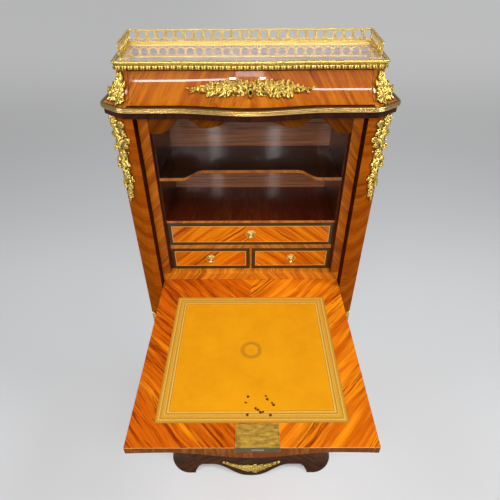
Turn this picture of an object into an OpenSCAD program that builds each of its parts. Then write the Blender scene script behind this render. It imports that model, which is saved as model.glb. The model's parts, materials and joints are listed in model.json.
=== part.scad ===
// Secretaire chest: a fall front over a fitted interior, a frieze drawer above it and
// three long drawers below it, on a shaped plinth, with a stone top inside a metal gallery.
// Millimetres, +Z up. The floor is z = 0 and the origin lies under the middle of the chest
// with its fall open. Inside in_case() the plane y = 0 is the inner face of the closed fall.

/* [Case] */
// Width of each front post, from the fall's opening to the side
post_w = 52; // [48:1:70]
// Depth of the case behind the closed fall
case_depth = 196; // [180:1:260]
// Height of the writing surface above the floor
desk_h = 920; // [860:1:980]
// Thickness of the side panels
side_t = 18; // [14:1:24]
// Thickness of the back panel
back_t = 8; // [5:1:14]
// How far the front posts stand in front of the closed fall's inner face
post_proud = 28; // [24:1:36]
// How far the front posts reach behind the closed fall's inner face
post_tail = 18; // [14:1:24]
// Width of the cut corner on the front posts, measured along the front
post_cut = 36; // [30:1:38]
// Height of the plinth
plinth_h = 110; // [90:1:140]

/* [Fall] */
// Width of the fall
fall_w = 450; // [430:1:460]
// Reach of the open fall from the case
fall_reach = 444; // [420:1:470]
// Thickness of the fall where its outer face is flattest
fall_t = 15.5; // [14:0.5:20]
// How far the middle of the front swells out
swell = 19.5; // [10:0.5:24]
// Half the width of the swelling
swell_span = 150; // [120:1:180]
// How far the front rises again at its two ends
end_rise = 3; // [0:0.5:4]
// Gap between the fall and each post
side_gap = 1; // [0.8:0.1:2]
// Gap between the closed fall and the sub-top
fall_top_gap = 2; // [1:0.5:3]
// Distance of the pivot from the inner face and from the hinge line
pivot_in = 6; // [5.5:0.5:7]
// Radius of the pivot pins
pin_r = 3; // [2.5:0.25:3.5]
// Running clearance of the pins in their bushes
pin_play = 0.05; // [0.02:0.01:0.08]
// Length of each pin outside the fall
pin_len = 9; // [7:0.5:12]
// Wall of the bushes
bush_wall = 2; // [1.5:0.25:2.5]
// How far the heel of the fall reaches below the writing surface when it is closed
heel = 38; // [37:0.5:42]
// Running clearance round the heel
heel_play = 1; // [0.8:0.1:1.5]
// Width of the leather
leather_w = 358; // [320:1:380]
// Length of the leather
leather_l = 330; // [300:1:331]
// Thickness of the leather
leather_t = 1.2; // [0.8:0.1:2]
// Gap between the leather and the lock plate
leather_lock_gap = 2; // [1:0.5:6]

/* [Lock] */
// Sideways place of the lock's middle
lock_x = 10; // [-20:1:20]
// Width of the lock plate
lock_w = 79; // [74:1:90]
// Length of the lock plate along the fall
lock_l = 45; // [42:1:46]
// Thickness of the lock plate
plate_t = 1.5; // [1:0.1:2]
// Depth of the lock case under its plate
lock_case_d = 12; // [10:0.5:12.5]
// Width of the bolt
bolt_w = 22; // [16:1:30]
// Thickness of the bolt
bolt_t = 5; // [3:0.5:6]
// Travel of the bolt
bolt_travel = 9; // [6:0.5:10]
// Sliding clearance round the bolt
bolt_play = 0.3; // [0.2:0.05:0.5]

/* [Interior] */
// How far the linings stand in from the inner frame's uprights
lining_step = 3; // [0:0.5:8]
// Width of the inner frame's uprights
inner_post_w = 21; // [18:1:24]
// Depth of the inner frame, and set-back of the drawer fronts
inner_d = 20; // [16:1:24]
// Thickness of the linings
lining_t = 8; // [6:0.5:10]
// Height of the inner frame's bottom rail
sill_h = 22; // [19:1:26]
// Thickness of the cabin floor
floor_t = 8; // [6:1:10]
// Thickness of the shaped top rail
apron_t = 12; // [9:1:15]
// Height of the shaped top rail's corners above the writing surface
apron_corner_h = 393; // [385:1:396]
// Height of the shelf's top above the writing surface
shelf_h = 288; // [260:1:310]
// Thickness of the shelf
shelf_t = 8; // [6:1:10]
// Set-back of the shelf's hollow middle
shelf_mid = 50; // [40:1:70]
// Set-back of the shelf's two ends
shelf_end = 12; // [9:1:18]
// Height of the two small drawers' bay
small_bay_h = 64.7; // [58:0.1:70]
// Thickness of the rail over the small drawers
bay_rail_t = 11; // [8:0.5:13]
// Height of the wide drawer's bay
wide_bay_h = 65.3; // [58:0.1:70]
// Thickness of the drawer unit's top
unit_top_t = 7; // [5:0.5:9]
// Thickness of the division between the small drawers
division_t = 6; // [4:0.5:8]

/* [Drawers] */
// Gap round each drawer front
front_gap = 0.8; // [0.5:0.1:1.2]
// Gap under each drawer box where it runs
run_gap = 0.3; // [0.2:0.05:0.5]
// Thickness of the small drawers' fronts
small_front_t = 12; // [9:1:15]
// Wall of the small drawer boxes
small_wall = 6; // [5:0.5:8]
// Wall of the large drawer boxes
large_wall = 10; // [8:1:12]
// Thickness of the drawer bottoms
bottom_t = 5; // [4:0.5:6]
// Space between the drawer boxes and the back panel
box_back_gap = 8; // [5:1:14]
// Drop of the drawer boxes' walls below the top of their fronts
box_drop = 14; // [10:1:20]
// Thickness of the boards between the long drawers
dust_t = 12; // [10:1:16]
// Height of the waist rail under the fall
waist_h = 38; // [34:1:44]
// Radius of the knobs' rosettes
knob_r = 13; // [10:0.5:15]

/* [Frieze and top] */
// Thickness of the sub-top
sub_top_t = 22; // [18:1:26]
// How far the sub-top stands out beyond the case at each side
sub_side_out = 10; // [6:1:14]
// How far the sub-top stands out beyond the front posts
sub_front_out = 3; // [2:1:6]
// Height of the hollow frieze
frieze_h = 53; // [46:1:62]
// How far the frieze falls back towards the top at the front
frieze_back = 52; // [40:1:56]
// How far the frieze falls back towards the top at each side
frieze_in = 28; // [22:1:34]
// How far the middle of the frieze swells at its top
frieze_top_swell = 5; // [2:0.5:8]
// How much further out the top stands at its back than at its front
head_splay = 17; // [0:1:20]
// How much further than the fall's opening the frieze drawer reaches on each side
frieze_over = 9; // [0:0.5:9]
// Thickness of the frieze drawer's front at its top, and of the frieze's ends
frieze_t = 12; // [10:1:16]
// Thickness of the board under the stone
top_board_t = 9; // [7:1:10]
// Height of the stone top
stone_t = 16; // [12:1:20]
// Width of the metal rim round the stone
rim_w = 9; // [7:0.5:12]
// How far the rim stands out beyond the frieze
rim_out = 5; // [3:0.5:8]
// Height of the lower metal moulding
cornice_h = 9; // [7:0.5:12]
// How far the lower metal moulding stands out
cornice_out = 8; // [6:0.5:10]
// Height of the gallery
gallery_h = 28; // [24:1:34]
// Thickness of the gallery
gallery_t = 2.5; // [2:0.25:4]
// Set-back of the gallery from the stone's edge
gallery_set = 3; // [2:0.5:6]
// Pitch of the gallery's rings
gallery_pitch = 20.8; // [18:0.1:24]

/* [Hidden] */

$fn = 64;
// Steps along a swelling front, and up a hollow frieze
front_steps = 24;
frieze_steps = 8;
// Lap that makes two solids of one union share volume
lap = 0.5;
// Clearance of a mount from the flat or curved face that it is pinned to
seat = 0.1;
curved_seat = 0.4;

veneer = "chocolate";
dark_wood = "saddlebrown";
gilt = "goldenrod";

// Number of long drawers, which NODES lists one by one
lower_count = 3;
// Gaps of the closed fall and of the heel's stop to the inner frame
frame_gap = 0.3;
stop_gap = 0.4;
// Height of the runners' guides
runner_h = 20;
// Depth and length of the bolt in the fall, and width of the lock plate's folded edge
bolt_in = 5;
bolt_len = 26;
plate_fold = 14;
// Heights of the shaped top rail's middle, lobes and notches above the writing surface
apron_mid_h = 426;
apron_lobe_h = 404;
apron_notch_h = 424;
// Places across the shaped top rail where a lobe, a notch and the corner sweep begin or end
apron_lobe_x = 95;
apron_notch_in = 129;
apron_notch_out = 146;
apron_sweep_out = 185;
// Places across the shelf where its hollow ends and its end wings begin
shelf_hollow_x = 110;
shelf_wing_x = 152;
// Plinth: wall, flare to the front and side, and the widths and heights of its lower edge
plinth_wall = 20;
flare_front = 43;
flare_side = 32;
foot_w = 66;
foot_toe = 70;
foot_heel = -8;
foot_round = 0.85;
lobe_half = 20;
lobe_z = 5;
arch_in = 145;
arch_out = 186;
arch_z = 31;
spring_z = 6;
side_arch_z = 40;
side_arch_r = 12;
side_arch_run = 30;
rear_foot_w = 46;
// Gilt mounts: half widths, thickness and places
mount_t = 5;
waist_mount_drop = 110;
plinth_mount_half = 110;
plinth_mount_z = 35;
plinth_mount_sag = 10;
frieze_mount_half = 122;
frieze_mount_rise = 25;
// Half heights of the lying mounts at their ends and in their middles
plinth_mount_end = 4;
plinth_mount_rise = 16;
frieze_mount_end = 2.5;
frieze_mount_half_h = 16.5;
// Longest, widest and thickest of the hanging mounts
post_mount_l = 195;
post_mount_half = 24;
post_mount_t = 10;
waist_mount_l = 130;
waist_mount_half = 13;
waist_mount_t = 7;
// Half widths, half heights and thicknesses of the keyhole shields
lower_shield = [20, 30, 3];
fall_shield = [12, 18, 2];
// Pivot plate: thickness, half its height, and how far it reaches up and down from the hinge
pivot_plate_t = 2.5;
pivot_plate_half = 4.5;
pivot_plate_up = 12;
pivot_plate_down = 24;
// Knob: thickness of its rosette and of its foot, place and radius of its neck and its ball
rosette_t = 3;
knob_neck_r = 2.6;
knob_ball_r = 6;
knob_ball_l = 14;
knob_l = 19;
// Height of the gallery's rails, and width of the bars of its rings
gallery_rail = 3;
gallery_bar = 2.2;

hinge_y = (fall_reach - case_depth) / 2;
open_half = fall_w / 2 + side_gap;
half_case = open_half + post_w;
foot_in = half_case - foot_w;
back_y = case_depth - back_t;
inner_half = half_case - side_t;
closed_top = fall_reach - 2 * pivot_in;
sub_top_z = desk_h + closed_top + fall_top_gap;
frieze_z = sub_top_z + sub_top_t;
rim_z = frieze_z + frieze_h;
stone_z = rim_z + stone_t;
waist_top_z = desk_h - heel - heel_play / 2;
lower_top_z = waist_top_z - waist_h;
lower_floor_z = plinth_h + dust_t;
lower_bay_h = (lower_top_z - lower_floor_z - (lower_count - 1) * dust_t) / lower_count;
leather_z = closed_top - lock_l - leather_lock_gap - leather_l;
bush_r = pin_r + pin_play + bush_wall;
bush_len = pin_len + 1;

cabin_floor_z = desk_h + sill_h;
small_rail_z = cabin_floor_z + small_bay_h;
wide_floor_z = small_rail_z + bay_rail_t;
unit_top_z = wide_floor_z + wide_bay_h;
apron_half = open_half - inner_post_w;
cabin_half = apron_half - lining_step;
small_half = (cabin_half - division_t / 2) / 2;

// Sub-top, frieze foot and frieze head in plan: half width, front and cut corner; then the
// stone's cut corner
frieze_half = open_half + frieze_over;
sub_half = half_case + sub_side_out;
sub_front = -post_proud - sub_front_out;
foot_half = sub_half - 1;
foot_front = sub_front + 1;
foot_cut = [post_cut + sub_side_out - 2, post_cut];
head_half = foot_half - frieze_in;
head_front = foot_front + frieze_back;
head_cut = [22, 12];
stone_cut = [6, 3];
// Back face of the frieze drawer's front, and half the clear width behind it
frieze_rear = head_front + frieze_t;
frieze_clear = frieze_half + frieze_t;
frieze_mount_z = frieze_z + frieze_mount_rise;
rim_h = stone_t + 1;
stone_half = head_half - (rim_w - rim_out);
stone_front = head_front + (rim_w - rim_out);
// Gallery in plan: its back corner, the front end of its side, and the run between them
gallery_back_x = stone_half + head_splay - gallery_set - gallery_t;
gallery_back_y = case_depth - gallery_set - gallery_t;
gallery_front_x = stone_half - gallery_set - gallery_t;
gallery_front_y = stone_front + head_cut[1] + gallery_set;
gallery_run = norm([gallery_back_x - gallery_front_x, gallery_back_y - gallery_front_y]);
gallery_lean = atan((gallery_back_x - gallery_front_x) / (gallery_back_y - gallery_front_y));

// Share of the full swelling at a distance x from the middle
function swell_at(x) = abs(x) < swell_span ? (1 + cos(180 * x / swell_span)) / 2 : 0;
// Thickness of the swelling front at x
function front_at(x) =
  fall_t + swell * swell_at(x)
  + end_rise * pow(max(0, abs(x) - swell_span) / (open_half - swell_span), 2);
// Values from a to b in n equal steps
function steps(a, b, n) = [for (i = [0 : n]) a + (b - a) * i / n];
function mix(a, b, share) = a + (b - a) * share;
// Value that leaves a and reaches b level
function ease(a, b, share) = mix(a, b, (1 - cos(180 * share)) / 2);
function reversed(list) = [for (i = [len(list) - 1 : -1 : 0]) list[i]];

// Places across a front that is straight outside its swelling
function swelling_xs(half) = concat([-half], steps(-swell_span, swell_span, front_steps), [half]);

// Outline in plan of a board with a swelling front, cut corners and a straight back that
// is wider than the front by the splay at each side
function plan(half, front, bulge, cut, back, splay = 0) = concat(
  [[-half - splay, back], [-half, front + cut[1]]],
  [for (x = swelling_xs(half - cut[0])) [x, front - bulge * swell_at(x)]],
  [[half, front + cut[1]], [half + splay, back]]
);

// Share of the frieze's fall-back reached at share u of its height, a quarter circle
function hollow(u) = sqrt(1 - pow(1 - u, 2));
// The frieze's front at x when a share g of its fall-back is reached, and its cut corner
function frieze_front(x, g) =
  mix(foot_front, head_front, g) - mix(swell, frieze_top_swell, g) * swell_at(x);
function frieze_corner(g) = let (
  half = mix(foot_half, head_half, g), front = mix(foot_front, head_front, g),
  cut = mix(foot_cut, head_cut, g)
) [[half - cut[0], front], [half, front + cut[1]]];
function frieze_y(x, z) = frieze_front(x, hollow(min(1, max(0, (z - frieze_z) / frieze_h))));
// Heights and fall-back shares of the frieze's levels, closer together near its foot
frieze_levels = [
  for (a = steps(0, 90, frieze_steps)) [frieze_z + frieze_h * (1 - cos(a)), sin(a)]
];

// Moves a shape from the case's frame to the part's frame
module in_case(tint) translate([0, hinge_y, 0]) color(tint) children();

// Lays down a shape that is given for the closed fall, with z = 0 at the writing surface
module on_fall(tint) in_case(tint)
  translate([0, -pivot_in, desk_h - pivot_in]) rotate([90, 0, 0])
    translate([0, pivot_in, pivot_in]) children();

module both_sides() {
  children();
  mirror([1, 0, 0]) children();
}

// Board between two heights from an outline in plan
module board(z, h, outline) translate([0, 0, z]) linear_extrude(h) polygon(outline);

// Box between two corners
module block(low, high) translate(low) cube(high - low);

// Triangles over a ring of n points: a fan from its last point, or a strip between its two halves
function cap(n, strip) = strip
  ? [for (j = [0 : n / 2 - 2]) each [[j, j + 1, n - 2 - j], [j, n - 2 - j, n - 1 - j]]]
  : [for (j = [0 : n - 3]) [n - 1, j, j + 1]];

// Closed skin over rings that all have the same number of points
module skin(rings, strip = false) {
  n = len(rings[0]);
  last = len(rings) - 1;
  polyhedron(
    points = [for (ring = rings) each ring],
    faces = concat(
      cap(n, strip),
      [for (i = [0 : last - 1]) for (j = [0 : n - 1]) let (k = (j + 1) % n)
        each [[i * n + j, (i + 1) * n + k, i * n + k], [i * n + j, (i + 1) * n + j, (i + 1) * n + k]]],
      [for (face = cap(n, strip)) [for (j = reversed(face)) last * n + j]]
    )
  );
}

// Solid of revolution round the fall's pivot that its heel sweeps, grown by a clearance
module heel_sweep(play) {
  xs = steps(-open_half, open_half, front_steps);
  reach = [for (x = xs) norm([front_at(x) - pivot_in, heel - pivot_in]) + play];
  translate([0, -pivot_in, desk_h - pivot_in]) rotate([0, 90, 0])
    rotate_extrude($fn = 96)
      polygon(concat([[0, xs[0]]], [for (i = [0 : front_steps]) [reach[i], xs[i]]],
                     [[0, xs[front_steps]]]));
}

// Outline of a board that shows between the posts and fills the case behind them
function between_posts(half) = concat(
  [for (x = steps(-half, half, front_steps)) [x, -front_at(x)]],
  [[half, post_tail], [inner_half, post_tail], [inner_half, back_y],
   [-inner_half, back_y], [-inner_half, post_tail], [-half, post_tail]]
);

// Case

module side_panel_left() in_case(veneer)
  mirror([1, 0, 0]) side_panel();

module side_panel_right() in_case(veneer)
  side_panel();

module side_panel()
  block([inner_half, post_tail, plinth_h], [half_case, case_depth, sub_top_z]);

module back_panel() in_case(dark_wood)
  block([-inner_half, back_y, plinth_h], [inner_half, case_depth, rim_z]);

module front_post() difference() {
  board(plinth_h, sub_top_z - plinth_h, [
    [open_half, -post_proud], [half_case - post_cut, -post_proud],
    [half_case, post_cut - post_proud], [half_case, post_tail], [open_half, post_tail]
  ]);
  translate([open_half, -pivot_in, desk_h - pivot_in]) rotate([0, 90, 0])
    translate([0, 0, -1]) cylinder(r = bush_r, h = bush_len + 1);
}

module front_post_left() in_case(veneer)
  mirror([1, 0, 0]) front_post();

module front_post_right() in_case(veneer)
  front_post();

module runners(z) both_sides()
  block([open_half, post_tail, z], [inner_half, back_y, z + runner_h]);

module bottom_board() in_case(dark_wood) {
  board(plinth_h, dust_t, between_posts(open_half));
  runners(lower_floor_z - lap);
}

module dust_boards() in_case(dark_wood)
  for (i = [1 : lower_count - 1]) {
    board(bay_floor(i) - dust_t, dust_t, between_posts(open_half));
    runners(bay_floor(i) - lap);
  }

module waist_rail() in_case(veneer) difference() {
  board(lower_top_z, waist_h, concat(
    [for (x = steps(-open_half, open_half, front_steps)) [x, -front_at(x)]],
    [[open_half, post_tail], [-open_half, post_tail]]
  ));
  heel_sweep(heel_play);
}

module sub_top() in_case(veneer) difference() {
  board(sub_top_z, sub_top_t, plan(sub_half, sub_front, swell, foot_cut, back_y));
  block([lock_x - bolt_w / 2 - 1, -bolt_in - bolt_t - 1, sub_top_z - 1],
        [lock_x + bolt_w / 2 + 1, 1 - bolt_in, sub_top_z + bolt_travel + 2]);
}

// Plinth

// Front face of the plinth at x and at a share f of its flare
function plinth_y(x, f) = sub_front - mix(swell, swell - 5, f) * swell_at(x) - flare_front * f;
// Share of the flare at a height z
function flare(z) = pow(max(0, 1 - z / plinth_h), 1.6);
// Height of the plinth front's lower edge: a middle lobe between two arches
function plinth_edge(x) = let (a = abs(x))
  a < lobe_half ? lobe_z
  : a < arch_in ? ease(lobe_z, arch_z, (a - lobe_half) / (arch_in - lobe_half))
  : a < arch_out ? arch_z
  : mix(arch_z, spring_z, 1 - cos(90 * (a - arch_out) / (foot_in - arch_out)));

module plinth_front() in_case(dark_wood)
  skin([for (x = steps(-foot_in, foot_in, 36)) let (zs = steps(plinth_edge(x), plinth_h, 7)) concat(
    [for (z = zs) [x, plinth_y(x, flare(z)), z]],
    [for (z = reversed(zs)) [x, plinth_y(x, flare(z)) + plinth_wall, z]]
  )], strip = true);

module plinth_sides() in_case(dark_wood) both_sides()
  translate([inner_half, 0, 0]) rotate([90, 0, 90]) linear_extrude(side_t) polygon(concat(
    [[post_tail, plinth_h]],
    [for (a = steps(0, 90, 6))
      [post_tail + 2 * side_arch_r * sin(a), side_arch_z - side_arch_r * cos(a)]],
    [for (a = steps(0, 90, 8))
      [case_depth - rear_foot_w - side_arch_run * cos(a), side_arch_z * cos(a)]],
    [[case_depth, 0], [case_depth, plinth_h]]
  ));

// Point t along a foot's corner, which is cut at the top and rounds out as it flares by f
function foot_corner(t, f) = let (
    toe = [half_case - mix(post_cut, foot_toe, f) + flare_side * f, sub_front - flare_front * f],
    heel = [half_case + flare_side * f, mix(post_cut - post_proud, foot_heel, f)],
    arc = [mix(toe.x, heel.x, sin(90 * t)), mix(heel.y, toe.y, cos(90 * t))]
  ) mix(mix(toe, heel, t), arc, foot_round * f);

// Corner foot: its rings widen and step forward as they go down
module front_foot() skin([for (z = steps(0, plinth_h, 6)) let (f = flare(z)) concat(
  [[foot_in, sub_front - flare_front * f, z]],
  [for (t = steps(0, 1, 8)) let (p = foot_corner(t, f)) [p.x, p.y, z]],
  [
    [half_case + flare_side * f, post_tail, z],
    [inner_half, post_tail, z],
    [foot_in, sub_front + plinth_wall - flare_front * f, z]
  ]
)]);

module front_feet() in_case(dark_wood) both_sides() front_foot();

// Frieze and top

module frieze_ends() in_case(veneer) both_sides() difference() {
  skin([for (level = frieze_levels) let (z = level[0], g = level[1], corner = frieze_corner(g)) [
    [frieze_half, corner[0][1], z], [corner[0][0], corner[0][1], z], [corner[1][0], corner[1][1], z],
    [mix(foot_half, head_half + head_splay, g), back_y, z], [frieze_half, back_y, z]
  ]]);
  block([frieze_half - 1, frieze_rear, frieze_z - 1], [frieze_clear, back_y + 1, rim_z + 1]);
}

module frieze_top_board() in_case(dark_wood)
  block([-frieze_clear, frieze_rear + 1, rim_z - top_board_t], [frieze_clear, back_y, rim_z]);

// Ring of a moulding, open at the back
module moulding(z, h, half, front, bulge, cut, splay, inset, grow)
  board(z, h, concat(
    plan(half + grow, front - grow, bulge, cut, case_depth, splay),
    reversed(plan(half - inset, front + inset, bulge, cut, case_depth, splay))
  ));

module cornice_moulding() in_case(gilt)
  for (layer = [[0, 0.3, 0.6], [0.3, 0.8, 1], [0.8, 1, 0.5]])
    moulding(frieze_z - cornice_h * (1 - layer[0]), cornice_h * (layer[1] - layer[0]),
             sub_half, sub_front, swell, foot_cut, 0, 0, cornice_out * layer[2]);

module top_rim() in_case(gilt)
  for (layer = [[0, 0.25, 0.4], [0.25, 0.8, 1], [0.8, 1, 0.7]])
    moulding(rim_z + rim_h * layer[0], rim_h * (layer[1] - layer[0]),
             head_half, head_front, frieze_top_swell, stone_cut, head_splay, rim_w - rim_out,
             rim_out * layer[2]);

module stone_top() in_case("lavenderblush")
  board(rim_z, stone_t,
        plan(stone_half, stone_front, frieze_top_swell, stone_cut, case_depth, head_splay));

// Pierced strip of rings between two rails, lying along +X with its foot at z = 0
module pierced_strip(l) {
  count = max(1, round(l / gallery_pitch));
  pitch = l / count;
  ring_r = gallery_h / 2 - gallery_rail + lap;
  translate([0, gallery_t, 0]) rotate([90, 0, 0]) linear_extrude(gallery_t) intersection() {
    square([l, gallery_h]);
    union() {
      square([l, gallery_rail]);
      translate([0, gallery_h - gallery_rail]) square([l, gallery_rail]);
      for (i = [0 : count - 1]) translate([(i + 0.5) * pitch, gallery_h / 2]) difference() {
        circle(r = ring_r, $fn = 24);
        circle(r = ring_r - gallery_bar, $fn = 24);
      }
      for (x = [0, l - gallery_bar]) translate([x, 0]) square([gallery_bar, gallery_h]);
    }
  }
}

module gallery_back() in_case(gilt)
  translate([-gallery_back_x, gallery_back_y, stone_z]) pierced_strip(2 * gallery_back_x);

// Each side runs forward from its back corner
module gallery_sides() in_case(gilt) both_sides()
  translate([gallery_front_x, gallery_front_y, stone_z]) rotate([0, 0, 90 - gallery_lean])
    translate([0, -gallery_t, 0]) pierced_strip(gallery_run);

// Fitted interior

module inner_posts() in_case(veneer) both_sides()
  block([open_half - inner_post_w, frame_gap, cabin_floor_z], [open_half, inner_d, sub_top_z]);

module inner_sill() in_case(veneer)
  block([-open_half, frame_gap, desk_h + stop_gap], [open_half, inner_d, cabin_floor_z]);

// Lower edge of the shaped top rail: a high middle arch, two lobes and two narrow notches
function apron_edge(x) = let (a = abs(x))
  a < apron_lobe_x ? ease(apron_mid_h, apron_lobe_h, a / apron_lobe_x)
  : a < apron_notch_in ? ease(apron_lobe_h, apron_notch_h,
                              (a - apron_lobe_x) / (apron_notch_in - apron_lobe_x))
  : a < apron_notch_out ? apron_notch_h
  : a < apron_sweep_out ? mix(apron_notch_h, apron_corner_h,
      sin(90 * (a - apron_notch_out) / (apron_sweep_out - apron_notch_out)))
  : apron_corner_h;

module inner_apron() in_case(veneer)
  translate([0, frame_gap + apron_t, 0]) rotate([90, 0, 0]) linear_extrude(apron_t) polygon(concat(
    [for (x = steps(-apron_half, apron_half, 60)) [x, desk_h + apron_edge(x)]],
    [[apron_half, sub_top_z], [-apron_half, sub_top_z]]
  ));

module cabin_floor() in_case(dark_wood)
  block([-inner_half, inner_d, cabin_floor_z - floor_t], [inner_half, back_y, cabin_floor_z]);

module cabin_linings() in_case(dark_wood) both_sides()
  block([cabin_half, inner_d, cabin_floor_z], [cabin_half + lining_t, back_y, sub_top_z]);

// Front edge of the shelf: a hollow middle between two ends that stand forward
function shelf_y(x) = let (a = abs(x))
  a < shelf_hollow_x ? shelf_mid
  : a < shelf_wing_x ? ease(shelf_mid, shelf_end,
                            (a - shelf_hollow_x) / (shelf_wing_x - shelf_hollow_x))
  : shelf_end;

module shaped_shelf() in_case(dark_wood)
  board(desk_h + shelf_h - shelf_t, shelf_t, concat(
    [for (x = steps(-cabin_half, cabin_half, 48)) [x, shelf_y(x)]],
    [[cabin_half, back_y], [-cabin_half, back_y]]
  ));

module unit_board(z, t) block([-cabin_half, inner_d, z], [cabin_half, back_y, z + t]);

module unit_top() in_case(dark_wood) unit_board(unit_top_z, unit_top_t);

module unit_rail() in_case(dark_wood) unit_board(small_rail_z, bay_rail_t);

module unit_division() in_case(dark_wood)
  block([-division_t / 2, inner_d, cabin_floor_z], [division_t / 2, back_y, small_rail_z]);

// Gilt mounts on the case

// Low ridge of half width w and thickness t on the middle of the line from a to b
function ridge(a, b, w, t, z, gap) = let (along = (b - a) / norm(b - a), out = [along[1], -along[0]])
  [for (p = [[-w, gap], [-0.6 * w, t], [0.6 * w, t], [w, gap]])
    let (at = (a + b) / 2 + p[0] * along + p[1] * out) [at[0], at[1], z]];

// Strip pinned to the cut corner of a post: stations are height, half width and thickness
module corner_strip(stations) skin([for (s = stations)
  ridge([half_case - post_cut, -post_proud], [half_case, post_cut - post_proud],
        s[1], s[2], s[0], seat)]);

module post_mounts() in_case(gilt) both_sides()
  corner_strip([for (s = [[1, 0.12, 0.2], [0.87, 0.34, 0.5], [0.72, 0.42, 0.6], [0.54, 0.5, 0.7],
                          [0.36, 0.62, 0.8], [0.23, 0.84, 0.9], [0.1, 1, 1], [0.03, 0.96, 0.9],
                          [0, 0.8, 0.6]])
    [sub_top_z - seat - s[0] * post_mount_l, s[1] * post_mount_half, s[2] * post_mount_t]]);

module waist_mounts() in_case(gilt) both_sides()
  corner_strip([for (s = [[1, 0.24, 0.3], [0.76, 0.54, 0.6], [0.46, 0.78, 0.86], [0.2, 1, 1],
                          [0.06, 0.84, 0.86], [0, 0.4, 0.44]])
    [desk_h - waist_mount_drop - s[0] * waist_mount_l, s[1] * waist_mount_half,
     s[2] * waist_mount_t]]);

// Mounts on the cut corners of the frieze, wide at their feet
module frieze_corner_mounts() in_case(gilt) both_sides()
  skin([for (i = [0 : frieze_steps - 1]) let (g = frieze_levels[i][1], corner = frieze_corner(g))
    ridge(corner[0], corner[1], mix(0.46 * norm(foot_cut), 6, g), mount_t,
          frieze_levels[i][0] + (i == 0 ? front_gap : 0), curved_seat)]);

module plinth_mount() in_case(gilt)
  skin([for (x = steps(-plinth_mount_half, plinth_mount_half, 20)) let (
      h = mix(plinth_mount_end, plinth_mount_rise, sqrt(max(0, 1 - pow(x / plinth_mount_half, 2)))),
      mid = plinth_mount_z + plinth_mount_sag * pow(x / plinth_mount_half, 2),
      zs = steps(mid - h, mid + h, 3)
    ) concat(
      [for (z = zs) [x, plinth_y(x, flare(z)) - mount_t, z]],
      [for (z = reversed(zs)) [x, plinth_y(x, flare(z)) - curved_seat, z]]
    )], strip = true);

module pivot_bushes() in_case(gilt) both_sides()
  translate([open_half, -pivot_in, desk_h - pivot_in]) rotate([0, 90, 0]) difference() {
    cylinder(r = bush_r, h = bush_len);
    translate([0, 0, -1]) cylinder(r = pin_r + pin_play, h = bush_len + 2);
  }

// Fall, drawn closed and laid down by on_fall()

module lock_plate_shape() {
  block([lock_x - lock_w / 2, -plate_t, closed_top - lock_l], [lock_x + lock_w / 2, 0, closed_top]);
  block([lock_x - lock_w / 2, -plate_fold, closed_top - plate_t],
        [lock_x + lock_w / 2, 0, closed_top]);
}

module lock_case_shape()
  block([lock_x - lock_w / 2 + 9, -lock_case_d - plate_t, closed_top - lock_l + 8],
        [lock_x + lock_w / 2 - 9, lap - plate_t, closed_top - plate_t + lap]);

module bolt_shape(play, extra)
  block([lock_x - bolt_w / 2 - play, -bolt_in - bolt_t - play, closed_top - bolt_len - play],
        [lock_x + bolt_w / 2 + play, play - bolt_in, closed_top - 0.3 + extra]);

module pivot_plate_shape() both_sides()
  block([fall_w / 2 - pivot_plate_t, -pivot_in - pivot_plate_half, -pivot_plate_down],
        [fall_w / 2, pivot_plate_half - pivot_in, pivot_plate_up]);

module fall_panel() on_fall(veneer) difference() {
  board(-heel, closed_top + heel, concat(
    [for (x = steps(-fall_w / 2, fall_w / 2, front_steps)) [x, -front_at(x)]],
    [[fall_w / 2, 0], [-fall_w / 2, 0]]
  ));
  block([-leather_w / 2, -leather_t, leather_z], [leather_w / 2, 1, leather_z + leather_l]);
  lock_plate_shape();
  lock_case_shape();
  pivot_plate_shape();
}

module fall_leather() on_fall("darkgoldenrod")
  block([-leather_w / 2, -leather_t, leather_z], [leather_w / 2, 0, leather_z + leather_l]);

module fall_lock() on_fall(gilt) difference() {
  union() {
    lock_plate_shape();
    lock_case_shape();
  }
  bolt_shape(bolt_play, 1);
}

module fall_bolt() on_fall("silver") bolt_shape(0, 0);

module fall_pivots() on_fall(gilt) {
  pivot_plate_shape();
  both_sides()
    translate([fall_w / 2 - lap, -pivot_in, -pivot_in]) rotate([0, 90, 0])
      cylinder(r = pin_r, h = pin_len + lap);
}

// Shield with a keyhole, standing at the origin and facing -Y; its sizes are half width,
// half height and thickness
module shield(sizes) rotate([90, 0, 0]) linear_extrude(sizes[2]) difference() {
  scale([sizes[0] / sizes[1], 1]) circle(r = sizes[1]);
  translate([0, 2]) circle(r = 2.2);
  translate([-1, -7]) square([2, 8]);
}

module fall_escutcheon() on_fall(gilt)
  translate([0, -front_at(0) - seat, closed_top - lock_l / 2]) shield(fall_shield);

// Drawers

// Open tray that hangs behind a drawer front
module tray(half, y0, y1, z0, z1, wall) difference() {
  block([-half, y0, z0], [half, y1, z1]);
  block([wall - half, y0 - 1, z0 + bottom_t], [half - wall, y1 - wall, z1 + 1]);
}

module knob(x, z) translate([x, inner_d - seat, z]) rotate([90, 0, 0]) rotate_extrude()
  polygon([
    [0, 0], [knob_r, 0], [knob_r, 0.4 * rosette_t], [0.7 * knob_r, rosette_t],
    [0.3 * knob_r, 1.2 * rosette_t], [knob_neck_r, 2 * rosette_t],
    [knob_neck_r, knob_ball_l - 0.8 * knob_ball_r],
    for (a = steps(-50, 80, 6)) [knob_ball_r * cos(a), knob_ball_l + knob_ball_r * 0.8 * sin(a)],
    [0, knob_l]
  ]);

module flat_front(half, z, h)
  block([front_gap - half, inner_d, z + front_gap],
        [half - front_gap, inner_d + small_front_t, z + h - front_gap]);

module flat_tray(half, z, h)
  tray(half - front_gap - 1, inner_d + small_front_t, back_y - box_back_gap,
       z + run_gap, z + h - box_drop, small_wall);

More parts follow.
